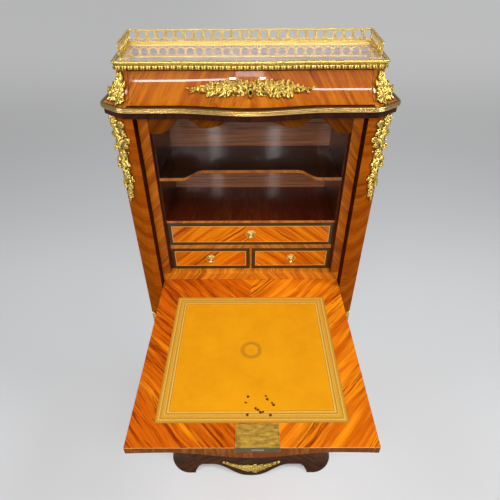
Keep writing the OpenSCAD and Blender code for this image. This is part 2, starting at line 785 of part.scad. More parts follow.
module wide_drawer_front() in_case(veneer) flat_front(cabin_half, wide_floor_z, wide_bay_h);

module wide_drawer_box() in_case(dark_wood) flat_tray(cabin_half, wide_floor_z, wide_bay_h);

module wide_drawer_knob() in_case(gilt) knob(0, wide_floor_z + wide_bay_h / 2);

// Puts a small drawer's shape in the middle of its bay: side is -1 for left and 1 for right
module in_small_bay(tint, side)
  in_case(tint) translate([side * (small_half + division_t / 2), 0, 0]) children();

module small_front(side) in_small_bay(veneer, side)
  flat_front(small_half, cabin_floor_z, small_bay_h);

module small_box(side) in_small_bay(dark_wood, side)
  flat_tray(small_half, cabin_floor_z, small_bay_h);

module small_knob(side) in_small_bay(gilt, side)
  knob(0, cabin_floor_z + small_bay_h / 2);

module frieze_drawer_front() in_case(veneer)
  skin([for (x = swelling_xs(frieze_half - front_gap)) let (
      zs = [for (level = frieze_levels)
        mix(frieze_z + front_gap, rim_z - front_gap, (level[0] - frieze_z) / frieze_h)]
    ) concat(
      [for (z = zs) [x, frieze_y(x, z), z]],
      [[x, frieze_rear, rim_z - front_gap], [x, frieze_rear, frieze_z + front_gap]]
    )]);

module frieze_drawer_box() in_case(dark_wood)
  tray(frieze_half - front_gap - 1, frieze_rear, back_y - box_back_gap, frieze_z + run_gap,
       rim_z - top_board_t - 2, large_wall);

module frieze_drawer_mount() in_case(gilt)
  skin([for (x = steps(-frieze_mount_half, frieze_mount_half, 24)) let (
      h = mix(frieze_mount_end, frieze_mount_half_h,
              sqrt(max(0, 1 - pow(x / frieze_mount_half, 2)))),
      zs = steps(frieze_mount_z - h, frieze_mount_z + h, 4)
    ) concat(
      [for (z = zs) [x, frieze_y(x, z) - mount_t, z]],
      [for (z = reversed(zs)) [x, frieze_y(x, z) - curved_seat, z]]
    )], strip = true);

// Floor of long drawer i's bay, counted from the bottom
function bay_floor(i) = lower_floor_z + i * (lower_bay_h + dust_t);

module lower_front(i) in_case(veneer)
  board(bay_floor(i) + front_gap, lower_bay_h - 2 * front_gap, concat(
    [for (x = steps(front_gap - open_half, open_half - front_gap, front_steps)) [x, -front_at(x)]],
    [[open_half - front_gap, 0], [front_gap - open_half, 0]]
  ));

module lower_box(i) in_case(dark_wood)
  tray(open_half - front_gap - 1, 0, back_y - box_back_gap, bay_floor(i) + run_gap,
       bay_floor(i) + lower_bay_h - box_drop, large_wall);

module lower_mount(i) in_case(gilt)
  translate([0, -front_at(0) - seat, bay_floor(i) + lower_bay_h / 2]) shield(lower_shield);

side_panel_left();
side_panel_right();
back_panel();
front_post_left();
front_post_right();
bottom_board();
dust_boards();
waist_rail();
sub_top();
plinth_front();
plinth_sides();
front_feet();
frieze_ends();
frieze_top_board();
cornice_moulding();
top_rim();
stone_top();
gallery_back();
gallery_sides();
inner_posts();
inner_sill();
inner_apron();
cabin_floor();
cabin_linings();
shaped_shelf();
unit_top();
unit_rail();
unit_division();
pivot_bushes();
post_mounts();
waist_mounts();
frieze_corner_mounts();
plinth_mount();
fall_panel();
fall_leather();
fall_lock();
fall_pivots();
fall_escutcheon();
fall_bolt();
frieze_drawer_front();
frieze_drawer_box();
frieze_drawer_mount();
wide_drawer_front();
wide_drawer_box();
wide_drawer_knob();
small_front(-1);  // small_drawer_left_front
small_box(-1);  // small_drawer_left_box
small_knob(-1);  // small_drawer_left_knob
small_front(1);  // small_drawer_right_front
small_box(1);  // small_drawer_right_box
small_knob(1);  // small_drawer_right_knob
lower_front(0);  // lower_drawer_1_front
lower_box(0);  // lower_drawer_1_box
lower_mount(0);  // lower_drawer_1_mount
lower_front(1);  // lower_drawer_2_front
lower_box(1);  // lower_drawer_2_box
lower_mount(1);  // lower_drawer_2_mount
lower_front(2);  // lower_drawer_3_front
lower_box(2);  // lower_drawer_3_box
lower_mount(2);  // lower_drawer_3_mount
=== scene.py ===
"""Looks of a fall-front secretaire chest.

The chest stands on the floor with its fall open. Lengths in this file are millimetres in the
case's own frame, in which y = 0 is the inner face of the closed fall; Place turns them into
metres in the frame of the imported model.
"""

from __future__ import annotations

import json
import logging
import math
from dataclasses import dataclass, replace
from enum import Enum
from functools import cache, reduce
from operator import add
from typing import Any, Callable, Iterable, Protocol, Sequence

import bmesh
import bpy
import numpy as np
from mathutils import Matrix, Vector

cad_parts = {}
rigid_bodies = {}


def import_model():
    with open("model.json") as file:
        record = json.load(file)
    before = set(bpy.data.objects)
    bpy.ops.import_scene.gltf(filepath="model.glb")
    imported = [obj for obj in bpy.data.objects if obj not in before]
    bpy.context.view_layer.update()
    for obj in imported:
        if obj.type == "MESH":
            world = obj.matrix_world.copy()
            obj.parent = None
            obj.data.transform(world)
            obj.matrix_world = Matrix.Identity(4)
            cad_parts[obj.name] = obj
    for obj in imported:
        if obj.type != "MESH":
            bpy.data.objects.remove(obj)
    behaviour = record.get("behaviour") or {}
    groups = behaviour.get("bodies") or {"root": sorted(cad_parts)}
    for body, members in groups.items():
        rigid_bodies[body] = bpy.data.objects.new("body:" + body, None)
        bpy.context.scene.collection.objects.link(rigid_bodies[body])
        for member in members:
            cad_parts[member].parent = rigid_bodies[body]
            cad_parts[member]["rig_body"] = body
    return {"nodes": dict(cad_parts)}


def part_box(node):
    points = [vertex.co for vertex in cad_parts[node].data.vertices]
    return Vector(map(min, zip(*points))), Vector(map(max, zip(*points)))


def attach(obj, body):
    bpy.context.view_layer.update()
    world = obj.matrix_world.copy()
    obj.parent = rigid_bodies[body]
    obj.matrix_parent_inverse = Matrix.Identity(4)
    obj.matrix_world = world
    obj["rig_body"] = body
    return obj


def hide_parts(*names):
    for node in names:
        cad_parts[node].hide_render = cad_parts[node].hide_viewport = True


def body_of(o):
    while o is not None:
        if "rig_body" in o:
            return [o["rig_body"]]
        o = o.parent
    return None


Array = np.ndarray
Colour = tuple[float, float, float]
Seat = Callable[[Array, Array], tuple[Array, Array]]

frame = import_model()

log = logging.getLogger("secretaire")

# Millimetres in a metre, and where y = 0 of the case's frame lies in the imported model's
PER_M = 1000.0
HINGE_Y = 124.0
# Height of the writing surface, and heights of the hollow frieze's foot and head
DESK_H = 920.0
FRIEZE_FOOT = 1376.0
FRIEZE_HEAD = 1429.0
# Half the case's width, and the front posts' inner edge, front face and cut corner
CASE_HALF = 278.0
POST_IN = 226.0
POST_Y = -28.0
POST_CUT = 36.0
# The fronts' swelling, half its width, and what is left of it at the top and the floor
SWELL = 19.5
SPAN = 150.0
LEAST_SWELL = 5.0


# Shader maths


def math_method(operation: str, reflected: bool = False) -> Callable[..., "Wire"]:
    """Makes a method that adds one Math node.

    Args:
        operation: The node's operation.
        reflected: Puts the wire last, as in 1 - wire.

    Returns:
        The method.
    """

    def method(wire: "Wire", *others: Any) -> "Wire":
        """Adds the node on the wire and the other values."""
        return wire.shader.math(operation, *((*others, wire) if reflected else (wire, *others)))

    return method


class Wire:
    """An output of a shader node. Operators on it add Math nodes."""

    def __init__(self, shader: "Shader", socket: bpy.types.NodeSocket) -> None:
        """Keeps an output socket and the shader that it belongs to."""
        self.shader = shader
        self.socket = socket

    __add__ = __radd__ = math_method("ADD")
    __sub__ = math_method("SUBTRACT")
    __rsub__ = math_method("SUBTRACT", reflected=True)
    __mul__ = __rmul__ = math_method("MULTIPLY")
    __gt__ = math_method("GREATER_THAN")
    __lt__ = math_method("LESS_THAN")
    __abs__ = math_method("ABSOLUTE")
    least = math_method("MINIMUM")
    most = math_method("MAXIMUM")
    sine = math_method("SINE")
    fraction = math_method("FRACT")

    def ramp(self, low: float, high: float) -> "Wire":
        """Rises smoothly from 0 at low to 1 at high, or falls where low is the greater."""
        node = self.shader.node(
            "ShaderNodeMapRange",
            {"interpolation_type": "SMOOTHSTEP"},
            {"Value": self, "From Min": low, "From Max": high},
        )
        return Wire(self.shader, node.outputs["Result"])


class Shader:
    """Builds the nodes of one material."""

    def __init__(self, name: str) -> None:
        """Starts an empty material of that name."""
        self.material = bpy.data.materials.new(name)
        self.material.use_nodes = True
        self.tree = self.material.node_tree
        self.tree.nodes.clear()

    def node(
        self,
        kind: str,
        settings: dict[str, Any] | None = None,
        values: dict[Any, Any] | None = None,
    ) -> bpy.types.Node:
        """Adds a node.

        Args:
            kind: The node's type.
            settings: What is set on the node before its sockets.
            values: A number, a colour or a Wire for each named or numbered socket.

        Returns:
            The node.
        """
        made = self.tree.nodes.new(kind)
        for key, value in (settings or {}).items():
            setattr(made, key, value)
        for key, value in (values or {}).items():
            if isinstance(value, Wire):
                self.tree.links.new(value.socket, made.inputs[key])
            else:
                made.inputs[key].default_value = value
        return made

    def math(self, operation: str, *values: Any) -> Wire:
        """Adds a Math node on up to three values."""
        made = self.node("ShaderNodeMath", {"operation": operation}, dict(enumerate(values)))
        return Wire(self, made.outputs[0])

    def mix(self, share: Any, first: Any, second: Any, blend: str = "MIX") -> Wire:
        """Mixes two colours.

        Args:
            share: Share of the second colour, a number or a Wire.
            first: Colour, or a Wire that carries one.
            second: Colour, or a Wire that carries one.
            blend: The way of mixing.

        Returns:
            The mixed colour.
        """
        made = self.node(
            "ShaderNodeMix",
            {"data_type": "RGBA", "blend_type": blend, "clamp_factor": True},
            {0: share, 6: rgba(first), 7: rgba(second)},
        )
        return Wire(self, made.outputs[2])

    def place(self) -> tuple[Wire, Wire, Wire]:
        """Object coordinates in millimetres of the case's frame."""
        coordinates = self.node("ShaderNodeTexCoord")
        values = {0: Wire(self, coordinates.outputs["Object"])}
        split = self.node("ShaderNodeSeparateXYZ", None, values)
        x, y, z = (Wire(self, socket) * PER_M for socket in split.outputs)
        return x, y - HINGE_Y, z

    def point(self, x: Any, y: Any, z: Any) -> Wire:
        """A point from its three coordinates."""
        return Wire(self, self.node("ShaderNodeCombineXYZ", None, {0: x, 1: y, 2: z}).outputs[0])

    def noise(self, x: Any, y: Any, z: Any, detail: float = 2.0, rough: float = 0.5) -> Wire:
        """Noise from 0 to 1 at a point whose unit is one wave."""
        values = {"Vector": self.point(x, y, z), "Scale": 1.0, "Detail": detail, "Roughness": rough}
        return Wire(self, self.node("ShaderNodeTexNoise", None, values).outputs[0])

    def cells(self, x: Any, y: Any, z: Any) -> Wire:
        """Distance from a point to the middle of the nearest scattered cell."""
        values = {"Vector": self.point(x, y, z), "Scale": 1.0}
        return Wire(self, self.node("ShaderNodeTexVoronoi", None, values).outputs["Distance"])

    def finish(
        self,
        colour: Any,
        rough: Any,
        metal: Any = 0.0,
        bump: Wire | None = None,
        depth: float = 0.0001,
        coat: float = 0.0,
        coat_rough: float = 0.03,
        specular: float = 0.5,
    ) -> bpy.types.Material:
        """Adds the surface shader.

        Args:
            colour: Base colour.
            rough: Roughness.
            metal: Share of metal.
            bump: Height of the fine relief, from 0 to 1.
            depth: Depth of that relief in metres.
            coat: Weight of the clear coat.
            coat_rough: Roughness of the clear coat.
            specular: Strength of the plain gloss.

        Returns:
            The finished material.
        """
        values: dict[str | int, Any] = {
            "Base Color": rgba(colour),
            "Roughness": rough,
            "Metallic": metal,
            "Coat Weight": coat,
            "Coat Roughness": coat_rough,
            "Specular IOR Level": specular,
        }
        if bump is not None:
            lift = {"Strength": 1.0, "Distance": depth, "Height": bump}
            values["Normal"] = Wire(self, self.node("ShaderNodeBump", None, lift).outputs[0])
        surface = self.node("ShaderNodeBsdfPrincipled", None, values)
        self.output = self.node("ShaderNodeOutputMaterial")
        self.tree.links.new(surface.outputs[0], self.output.inputs[0])
        return self.material

    def glow_for_camera(self, colour: Wire, share: Wire) -> None:
        """Mixes a glow into a finished surface that lights nothing else.

        Args:
            colour: Colour of the glow.
            share: Share of the glow where the camera, a mirror or a glass looks at it.
        """
        surface = self.output.inputs[0].links[0].from_socket
        path = self.node("ShaderNodeLightPath")
        kinds = ("Camera", "Glossy", "Transmission")
        seen = sum_of(Wire(self, path.outputs[f"Is {kind} Ray"]) for kind in kinds)
        glow = self.node("ShaderNodeEmission", None, {"Color": colour})
        both = self.node("ShaderNodeMixShader", None, {0: seen.least(1.0) * share})
        self.tree.links.new(surface, both.inputs[1])
        self.tree.links.new(glow.outputs[0], both.inputs[2])
        self.tree.links.new(both.outputs[0], self.output.inputs[0])


def rgba(colour: Any) -> Any:
    """Gives a plain colour its fourth number and leaves a Wire as it is."""
    return colour if isinstance(colour, Wire) else (*colour, 1.0)


def sum_of(wires: Iterable[Wire]) -> Wire:
    """Sum of a row of wires."""
    return reduce(add, wires)


class Finish(Protocol):
    """What a surface is finished with."""

    def material(self) -> bpy.types.Material:
        """Builds the material."""


@cache
def material_of(finish: Finish) -> bpy.types.Material:
    """Material of a finish, made once."""
    return finish.material()


# Finishes


class Plane(Enum):
    """The plane in which a veneer's grain is laid."""

    FRONT = "front"
    TOP = "top"
    SIDE = "side"


@dataclass(frozen=True)
class Inlay:
    """Bands and lines that run round a panel at a steady distance from its edge.

    Attributes:
        middle: The panel's middle in its plane.
        half: Half its width and half its height.
        bands: For each band, the distances at which it starts and ends, and its colour.
    """

    middle: tuple[float, float]
    half: tuple[float, float]
    bands: tuple[tuple[float, float, Colour], ...]


class Axis(Enum):
    """What the place of a zone is measured along."""

    ACROSS = 0
    DEPTH = 1
    HEIGHT = 2


@dataclass(frozen=True)
class Zone:
    """Part of a piece that has another colour than its veneer.

    Attributes:
        axis: Distance from the chest's middle, depth or height.
        low: Where the zone starts along that axis.
        high: Where it ends.
        colour: Its colour.
    """

    axis: Axis
    low: float
    high: float
    colour: Colour


@dataclass(frozen=True)
class Veneer:
    """Streaky orange-red veneer, book-matched at the middle of the chest.

    Attributes:
        name: The material's name.
        plane: The plane in which the grain is laid.
        angle: Slope of the grain in degrees on the right half; the left half mirrors it.
        tones: Colour between the streaks, of the broad soft bands, and of the streaks.
        streak: Distance between streaks.
        wave: How far the streaks wander.
        strength: How strongly the streaks show.
        seed: Offset that gives each panel its own figure.
        inlay: Banding laid into the veneer.
        rough: Roughness under the polish.
        coat: Weight of the polish.
        gloss: Strength of the plain gloss under it.
        left: How much more of the streaks the left half shows.
        zones: Parts with another colour, such as a plain edge, painted shade on inner faces or a
            painted highlight along an edge.
    """

    name: str
    plane: Plane = Plane.FRONT
    angle: float = 45.0
    tones: tuple[Colour, ...] = (
        (0.74, 0.185, 0.012), (0.50, 0.095, 0.006), (0.21, 0.032, 0.005)
    )
    streak: float = 6.0
    wave: float = 5.0
    strength: float = 1.0
    seed: float = 0.0
    inlay: Inlay | None = None
    rough: float = 0.35
    coat: float = 0.35
    gloss: float = 0.08
    left: float = 0.0
    zones: tuple[Zone, ...] = ()

    def material(self) -> bpy.types.Material:
        """Builds the material.

        Returns:
            The material: noise stretched along the grain gives the streaks, a slower noise
            the broad bands, and a very fine one the pores.
        """
        shader = Shader(self.name)
        x, y, z = shader.place()
        first = y if self.plane is Plane.SIDE else abs(x)
        second = y if self.plane is Plane.TOP else z
        third = x if self.plane is Plane.SIDE else (z if self.plane is Plane.TOP else y)
        side = (x > 0.0) * 37.0 + self.seed
        slope = math.radians(self.angle)
        along = first * math.cos(slope) + second * math.sin(slope)
        across = second * math.cos(slope) - first * math.sin(slope)
        wander = shader.noise(along * 0.006 + side, across * 0.01, self.seed, 2.0) - 0.5
        bent = across + wander * (self.wave * 4.0)
        wide, narrow = bent * (0.28 / self.streak), bent * (1.0 / self.streak)
        broad = shader.noise(along * 0.004 + side, wide, third * 0.01, 3.0, 0.6)
        fine = shader.noise(along * 0.007, narrow + side, third * 0.02, 5.0, 0.62)
        hair = shader.noise(along * 0.02 + side, bent * (5.0 / self.streak), third * 0.1, 3.0, 0.7)
        pores = shader.noise(along * 0.12 + side, bent * 3.2, third * 1.5, 2.0, 0.8)
        bunch = shader.noise(along * 0.003 - side, bent * (0.1 / self.streak), self.seed, 2.0)
        bunch = (bunch + (x < 0.0) * self.left).ramp(0.42, 0.62)
        bands = (broad + (x < 0.0) * (self.left * 0.6)).ramp(0.36, 0.64)
        light, middle, dark = self.tones
        lines = (fine * 0.55 + hair * 0.45).ramp(0.47, 0.6) * (bunch * 0.75 + 0.25) * self.strength
        colour = shader.mix(bands, light, middle)
        colour = shader.mix(lines.least(1.0) * 0.92, colour, dark)
        colour = shader.mix(pores.ramp(0.58, 0.72) * 0.55, colour, dark)
        for zone in self.zones:
            at = (abs(x), y, z)[zone.axis.value]
            inside = (at > zone.low) * (at < zone.high)
            colour = shader.mix(inside * (1.0 - lines.least(1.0) * 0.25), colour, zone.colour)
        if self.inlay is not None:
            (mid_x, mid_z), (half_x, half_z) = self.inlay.middle, self.inlay.half
            from_edge = (half_x - abs(x - mid_x)).least(half_z - abs(second - mid_z))
            for start, stop, tint in self.inlay.bands:
                colour = shader.mix((from_edge > start) * (from_edge < stop), colour, tint)
        relief = pores * 0.5 + lines * 0.5
        return shader.finish(
            colour, self.rough, 0.0, relief, 0.00003, self.coat, 0.05, self.gloss
        )


@dataclass(frozen=True)
class Timber:
    """Plain straight-grained wood.

    Attributes:
        name: The material's name.
        light: Colour between the grain lines.
        dark: Colour of the grain lines.
        coat: Weight of the polish.
        rough: Roughness under the polish.
        satin: Roughness of the polish.
    """

    name: str
    light: Colour
    dark: Colour
    coat: float = 0.6
    rough: float = 0.35
    satin: float = 0.08

    def material(self) -> bpy.types.Material:
        """Builds the material, whose grain runs along X."""
        shader = Shader(self.name)
        x, y, z = shader.place()
        bend = shader.noise(x * 0.004, y * 0.02, z * 0.02, 2.0) * 3.0
        grain = shader.noise(x * 0.006, y * 0.25 + bend, z * 0.25 + bend, 5.0, 0.6)
        pores = shader.noise(x * 0.05, y * 2.5, z * 2.5, 2.0, 0.8)
        colour = shader.mix(grain.ramp(0.35, 0.7), self.light, self.dark)
        colour = shader.mix(pores.ramp(0.6, 0.8) * 0.5, colour, self.dark)
        return shader.finish(
            colour, self.rough, 0.0, pores, 0.00004, self.coat, self.satin, specular=0.3
        )


@dataclass(frozen=True)
class Gilt:
    """Gilt metal, darker in its hollows with painted shade that is partly patina, and in tarnish
    spots.

    Attributes:
        name: The material's name.
        bright: Colour of the burnished parts.
        shade_and_tarnish: Colour of the painted shade and patina in the hollows, and of the tarnish
            spots.
        rough: Roughness of the burnished parts.
        chased: Depth of the chasing in metres.
        mottle: Share of dark spots.
    """

    name: str
    bright: Colour = (0.86, 0.62, 0.15)
    shade_and_tarnish: Colour = (0.12, 0.065, 0.012)
    rough: float = 0.26
    chased: float = 0.0003
    mottle: float = 0.3

    def material(self) -> bpy.types.Material:
        """Builds the material. Its hollows, darkened as painted shade and patina, are read from the
        piece's own attribute.
        """
        shader = Shader(self.name)
        x, y, z = shader.place()
        attribute = shader.node("ShaderNodeAttribute", {"attribute_name": "hollow"})
        hollow = Wire(shader, attribute.outputs["Fac"])
        spots = shader.noise(x * 0.5, y * 0.5, z * 0.5, 4.0, 0.6)
        grit = shader.noise(x * 2.2, y * 2.2, z * 2.2, 3.0, 0.6)
        # Painted shade, partly patina, in the hollows, and random tarnish spots
        shade_and_tarnish_share = (hollow * 1.1 + spots.ramp(0.45, 0.7) * self.mottle).least(1.0)
        colour = shader.mix(shade_and_tarnish_share, self.bright, self.shade_and_tarnish)
        return shader.finish(colour, shade_and_tarnish_share * 0.3 + self.rough, 1.0, grit, self.chased)


@dataclass(frozen=True)
class LockPlate:
    """Old brass of the lock plate, with its screws and its engraved border.

    Attributes:
        name: The material's name.
        middle: The plate's middle, x and y.
        half: Half its width and half its length.
        inset: How far the screws sit from its edges.
    """

    name: str = "old_brass"
    middle: tuple[float, float] = (10.0, -421.5)
    half: tuple[float, float] = (39.5, 22.5)
    inset: float = 6.5

    def material(self) -> bpy.types.Material:
        """Builds the material: four screw heads sit near the corners, each with a slot."""
        shader = Shader(self.name)
        x, y, z = shader.place()
        u = x - self.middle[0]
        v = y - self.middle[1]
        near_u = abs(u) - (self.half[0] - self.inset)
        near_v = abs(v) - (self.half[1] - self.inset)
        radius = shader.math("SQRT", near_u * near_u + near_v * near_v)
        ring = (radius > 2.6) * (radius < 3.2)
        slot = (radius < 2.6) * (abs(near_u + near_v * 0.6) < 0.35)
        from_edge = (self.half[0] - abs(u)).least(self.half[1] - abs(v))
        line = (from_edge > 1.6) * (from_edge < 2.1)
        marks = (ring + slot + line * 0.6).least(1.0)
        stain = shader.noise(x * 0.05, y * 0.16, z * 0.1, 5.0, 0.65)
        scratch = shader.noise(x * 0.04, y * 1.1, z, 4.0, 0.75)
        colour = shader.mix(stain.ramp(0.35, 0.65), (0.72, 0.41, 0.045), (0.32, 0.17, 0.022))
        colour = shader.mix(scratch.ramp(0.5, 0.75) * 0.6, colour, (0.84, 0.60, 0.16))
        colour = shader.mix(marks * 0.85, colour, (0.05, 0.03, 0.012))
        # Painted shade on the part of the plate that lies on the fall's front edge
        colour = shader.mix((v < 0.3 - self.half[1]) * 0.9, colour, (0.035, 0.03, 0.012))
        return shader.finish(colour, stain * 0.25 + 0.3, 0.5, 1.0 - marks, 0.0003)


@dataclass(frozen=True)
class Leather:
    """Amber writing leather with gold-tooled bands, a wreath and old ink.

    Attributes:
        name: The material's name.
        half: Half its width and half its length.
        middle_y: Where its middle lies.
        wreath_y: Where the wreath's middle lies.
        ink: Places of the ink spots, x, y and radius.
    """

    name: str = "amber_leather"
    half: tuple[float, float] = (179.0, 165.0)
    middle_y: float = -232.0
    wreath_y: float = -230.0
    ink: tuple[tuple[float, float, float], ...] = (
        (-7.0, -343.0, 2.2),
        (-11.0, -356.0, 1.6),
        (28.0, -342.0, 1.8),
        (30.0, -349.0, 2.4),
        (42.0, -361.0, 2.2),
        (39.0, -357.0, 1.8),
        (7.5, -368.0, 2.2),
        (12.0, -371.0, 2.0),
        (16.0, -376.0, 2.6),
        (21.0, -375.0, 1.7),
        (-8.0, -381.0, 2.6),
        (35.0, -382.0, 2.3),
    )

    def material(self) -> bpy.types.Material:
        """Builds the material.

        Returns:
            The material: bands are measured from the leather's edge, and each stamp repeats
            along its band.
        """
        shader = Shader(self.name)
        x, y, z = shader.place()
        v = y - self.middle_y
        dx = self.half[0] - abs(x)
        dy = self.half[1] - abs(v)
        d = dx.least(dy)
        run = (dx < dy) * (v - x) + x
        blot = shader.noise(x * 0.012, y * 0.012, z, 4.0, 0.6)
        soft = shader.noise(x * 0.06, y * 0.06, z, 3.0, 0.6)
        grain = shader.cells(x * 0.75, y * 0.75, z * 0.75)
        colour = shader.mix(blot.ramp(0.3, 0.75), (0.68, 0.28, 0.004), (0.62, 0.235, 0.003))
        colour = shader.mix(soft.ramp(0.4, 0.8) * 0.35, colour, (0.71, 0.31, 0.007))
        worn = shader.noise(x * 0.3, y * 0.3, z, 4.0, 0.6).ramp(0.25, 0.5)
        band = d < 23.5
        colour = shader.mix(band * (soft * 0.3 + 0.35), colour, (0.64, 0.37, 0.055))
        wave = (run * 0.52).sine() * 2.3
        teeth = (d > 1.2) * (d < abs((run * 0.2).fraction() - 0.5) * 7.0 + 2.6)
        motif = (abs(d - 13.0 - wave) < 0.8).most(abs(d - 13.0 + wave) < 0.7)
        dots = (abs((run * 0.166).fraction() - 0.5) < 0.2) * (abs(d - 20.3) < 0.8)
        w = y - self.wreath_y
        radius = shader.math("SQRT", x * x + w * w)
        turn = shader.math("ARCTAN2", w, x)
        leaves = (turn * 26.0 + radius * 0.9).sine() * 1.8 + 19.0
        wreath = (abs(radius - leaves) < 3.2) * (abs(radius - 19.5) > 0.5)
        lines = ((21.8, 0.6), (6.6, 0.5), (15.8, 0.4))
        gilded = (dots, *(abs(d - at) < wide for at, wide in lines))
        gold = sum_of(gilded).least(1.0) * worn
        blind = (abs(d - at) < 0.55 for at in (0.6, 7.8, 9.4, 17.4, 18.9, 23.2))
        dark = sum_of((teeth * 0.7, motif * 0.7, wreath, *blind)).least(1.0)
        colour = shader.mix(dark * (worn * 0.35 + 0.4), colour, (0.24, 0.115, 0.018))
        colour = shader.mix(gold * 0.6, colour, (0.80, 0.56, 0.16))
        spots: Wire | float = 0.0
        ragged = (shader.noise(x * 0.25, y * 0.25, z, 3.0, 0.7) - 0.5) * 5.0
        for at_x, at_y, size in self.ink:
            off_x, off_y = x - at_x, y - at_y
            gap = shader.math("SQRT", off_x * off_x + off_y * off_y) + ragged
            spots = (gap < size + 0.5).most(spots)
        colour = shader.mix(spots * 0.94, colour, (0.075, 0.016, 0.005))
        height = grain * 0.35 - gold * 0.6 + soft * 0.4
        return shader.finish(colour, 0.55 - gold * 0.15, gold * 0.2, height, 0.00018, specular=0.05)


@dataclass(frozen=True)
class Marble:
    """Polished pinkish-white marble with soft grey clouds and thin veins.

    Attributes:
        name: The material's name.
    """

    name: str = "pale_marble"

    def material(self) -> bpy.types.Material:
        """Builds the material: a warped noise near its middle value gives the veins."""
        shader = Shader(self.name)
        x, y, z = shader.place()
        warp = shader.noise(x * 0.01, y * 0.01, z * 0.01, 4.0, 0.6) * 4.0
        cloud = shader.noise(x * 0.008 + warp, y * 0.014 + warp, z * 0.01, 5.0, 0.6)
        folds = shader.noise(x * 0.006 + warp, y * 0.02, z * 0.01 + warp, 6.0, 0.6)
        vein = 1.0 - abs(folds - 0.5).ramp(0.0, 0.03)
        colour = shader.mix(cloud.ramp(0.35, 0.7), (0.74, 0.57, 0.50), (0.54, 0.41, 0.36))
        colour = shader.mix(vein * 0.4, colour, (0.30, 0.21, 0.18))
        return shader.finish(colour, 0.03, coat=1.0, coat_rough=0.0, specular=1.0)


@dataclass(frozen=True)
class Steel:
    """Plain drawn steel.

    Attributes:
        name: The material's name.
    """

    name: str = "plain_steel"

    def material(self) -> bpy.types.Material:
        """Builds the material, scratched along its length."""
        shader = Shader(self.name)
        x, y, z = shader.place()
        drawn = shader.noise(x * 2.0, y * 0.1, z * 2.0, 3.0, 0.6)
        colour = shader.mix(drawn, (0.42, 0.41, 0.4), (0.25, 0.24, 0.23))
        return shader.finish(colour, drawn * 0.2 + 0.3, 1.0, drawn, 0.00005)


# Meshes


@dataclass
class Patch:
    """Points in the case's frame and the faces on them.

    Attributes:
        points: One row for each point.
        faces: Index lists, one for each face.
        hollow: How deep in a hollow each point lies, from 0 to 1; the gilt darkens it as painted
            shade and patina.
    """

    points: Array
    faces: list[Sequence[int]]
    hollow: Array | None = None

    def mirrored(self) -> "Patch":
        """The same patch on the other side of the chest."""
        flipped = self.points * np.array([-1.0, 1.0, 1.0])
        return Patch(flipped, [face[::-1] for face in self.faces], self.hollow)


def both_sides(patches: Sequence[Patch]) -> list[Patch]:
    """Patches and their mirror images on the other side of the chest."""
    return [*patches, *(patch.mirrored() for patch in patches)]


def grid_faces(rows: int, columns: int, closed: bool = False) -> list[Sequence[int]]:
    """Quads over closed rows of points.

    Args:
        rows: Number of rows.
        columns: Number of points in each row, whose last joins its first.
        closed: Joins the last row to the first.

    Returns:
        The quads, which face the cross product of the column and the row direction.
    """
    i = np.arange(rows if closed else rows - 1)[:, None]
    j = np.arange(columns)[None, :]
    i2, j2 = (i + 1) % rows, (j + 1) % columns
    quads = np.stack([i * columns + j, i * columns + j2, i2 * columns + j2, i2 * columns + j], -1)
    return quads.reshape(-1, 4).tolist()


def loft(rings: Array) -> Patch:
    """Closed solid over rings of equal length.

    Args:
        rings: Array of rings, points and coordinates.

    Returns:
        The skin through the rings, with a flat cap on the first and the last.
    """
    count, size, _ = rings.shape
    faces = grid_faces(count, size)
    faces.append(tuple(range(size - 1, -1, -1)))
    faces.append(tuple(range((count - 1) * size, count * size)))
    return Patch(rings.reshape(-1, 3), faces)


def tube(path: Array, radius: float, sides: int = 8, closed: bool = False) -> Patch:
    """Round bar along a path.

    Args:
        path: Points of the path.
        radius: The bar's radius.
        sides: Number of sides of the bar.
        closed: Joins the path's end to its start.

    Returns:
        The bar: each point of the path plus radius times (cosine of the angle times one
        normal plus sine of the angle times the other).
    """
    ahead = np.roll(path, -1, 0) - np.roll(path, 1, 0)
    if not closed:
        ahead[0], ahead[-1] = path[1] - path[0], path[-1] - path[-2]
    ahead /= np.linalg.norm(ahead, axis=1)[:, None]
    if len(path) > 2:
        spread = np.linalg.svd(path - path.mean(0))[2][2]
    else:
        spread = np.array([0.0, 1.0, 0.0])
    one = np.cross(ahead, spread)
    one /= np.linalg.norm(one, axis=1)[:, None]
    other = np.cross(ahead, one)
    turn = np.linspace(0, 2 * np.pi, sides, endpoint=False)
    ring = one[:, None] * np.cos(turn)[:, None] + other[:, None] * np.sin(turn)[:, None]
    points = path[:, None] + radius * ring
    if closed:
        return Patch(points.reshape(-1, 3), grid_faces(len(path), sides, True))
    return loft(points)


def turned(
    profile: Sequence[tuple[float, float]], ripple: Callable[[Array, Array], Array], sides: int = 48
) -> Patch:
    """Solid of revolution round -Y.

    Args:
        profile: Radius and height of each point, from the foot's middle to the tip.
        ripple: Gives what is added to each radius from its turn and its place in the profile.
        sides: Number of sides.

    Returns:
        The solid: (radius times cosine, minus height, radius times sine).
    """
    radius, height = np.array(profile).T[..., None]
    turn = np.linspace(0, 2 * np.pi, sides, endpoint=False)[None, :]
    radius = radius + ripple(turn, np.linspace(0, 1, len(profile))[:, None])
    points = np.stack([radius * np.cos(turn), -height + 0 * turn, radius * np.sin(turn)], -1)
    return loft(points[:, ::-1])


def unit(vectors: Array) -> Array:
    """Vectors in the last axis, each brought to length 1."""
    return vectors / np.linalg.norm(vectors, axis=-1)[..., None]


def box_of(name: str) -> tuple[list[float], list[float]]:
    """Low and high corner of a CAD node's box in the case's frame."""
    low, high = np.array(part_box(name)) * PER_M - [0.0, HINGE_Y, 0.0]
    return low.tolist(), high.tolist()


def dress(finish: Finish, *names: str) -> None:
    """Gives CAD nodes a finish."""
    for name in names:
        for holder in frame["nodes"][name].material_slots:
            holder.material = material_of(finish)
        log.info("%s: dressed with %s", name, material_of(finish).name)


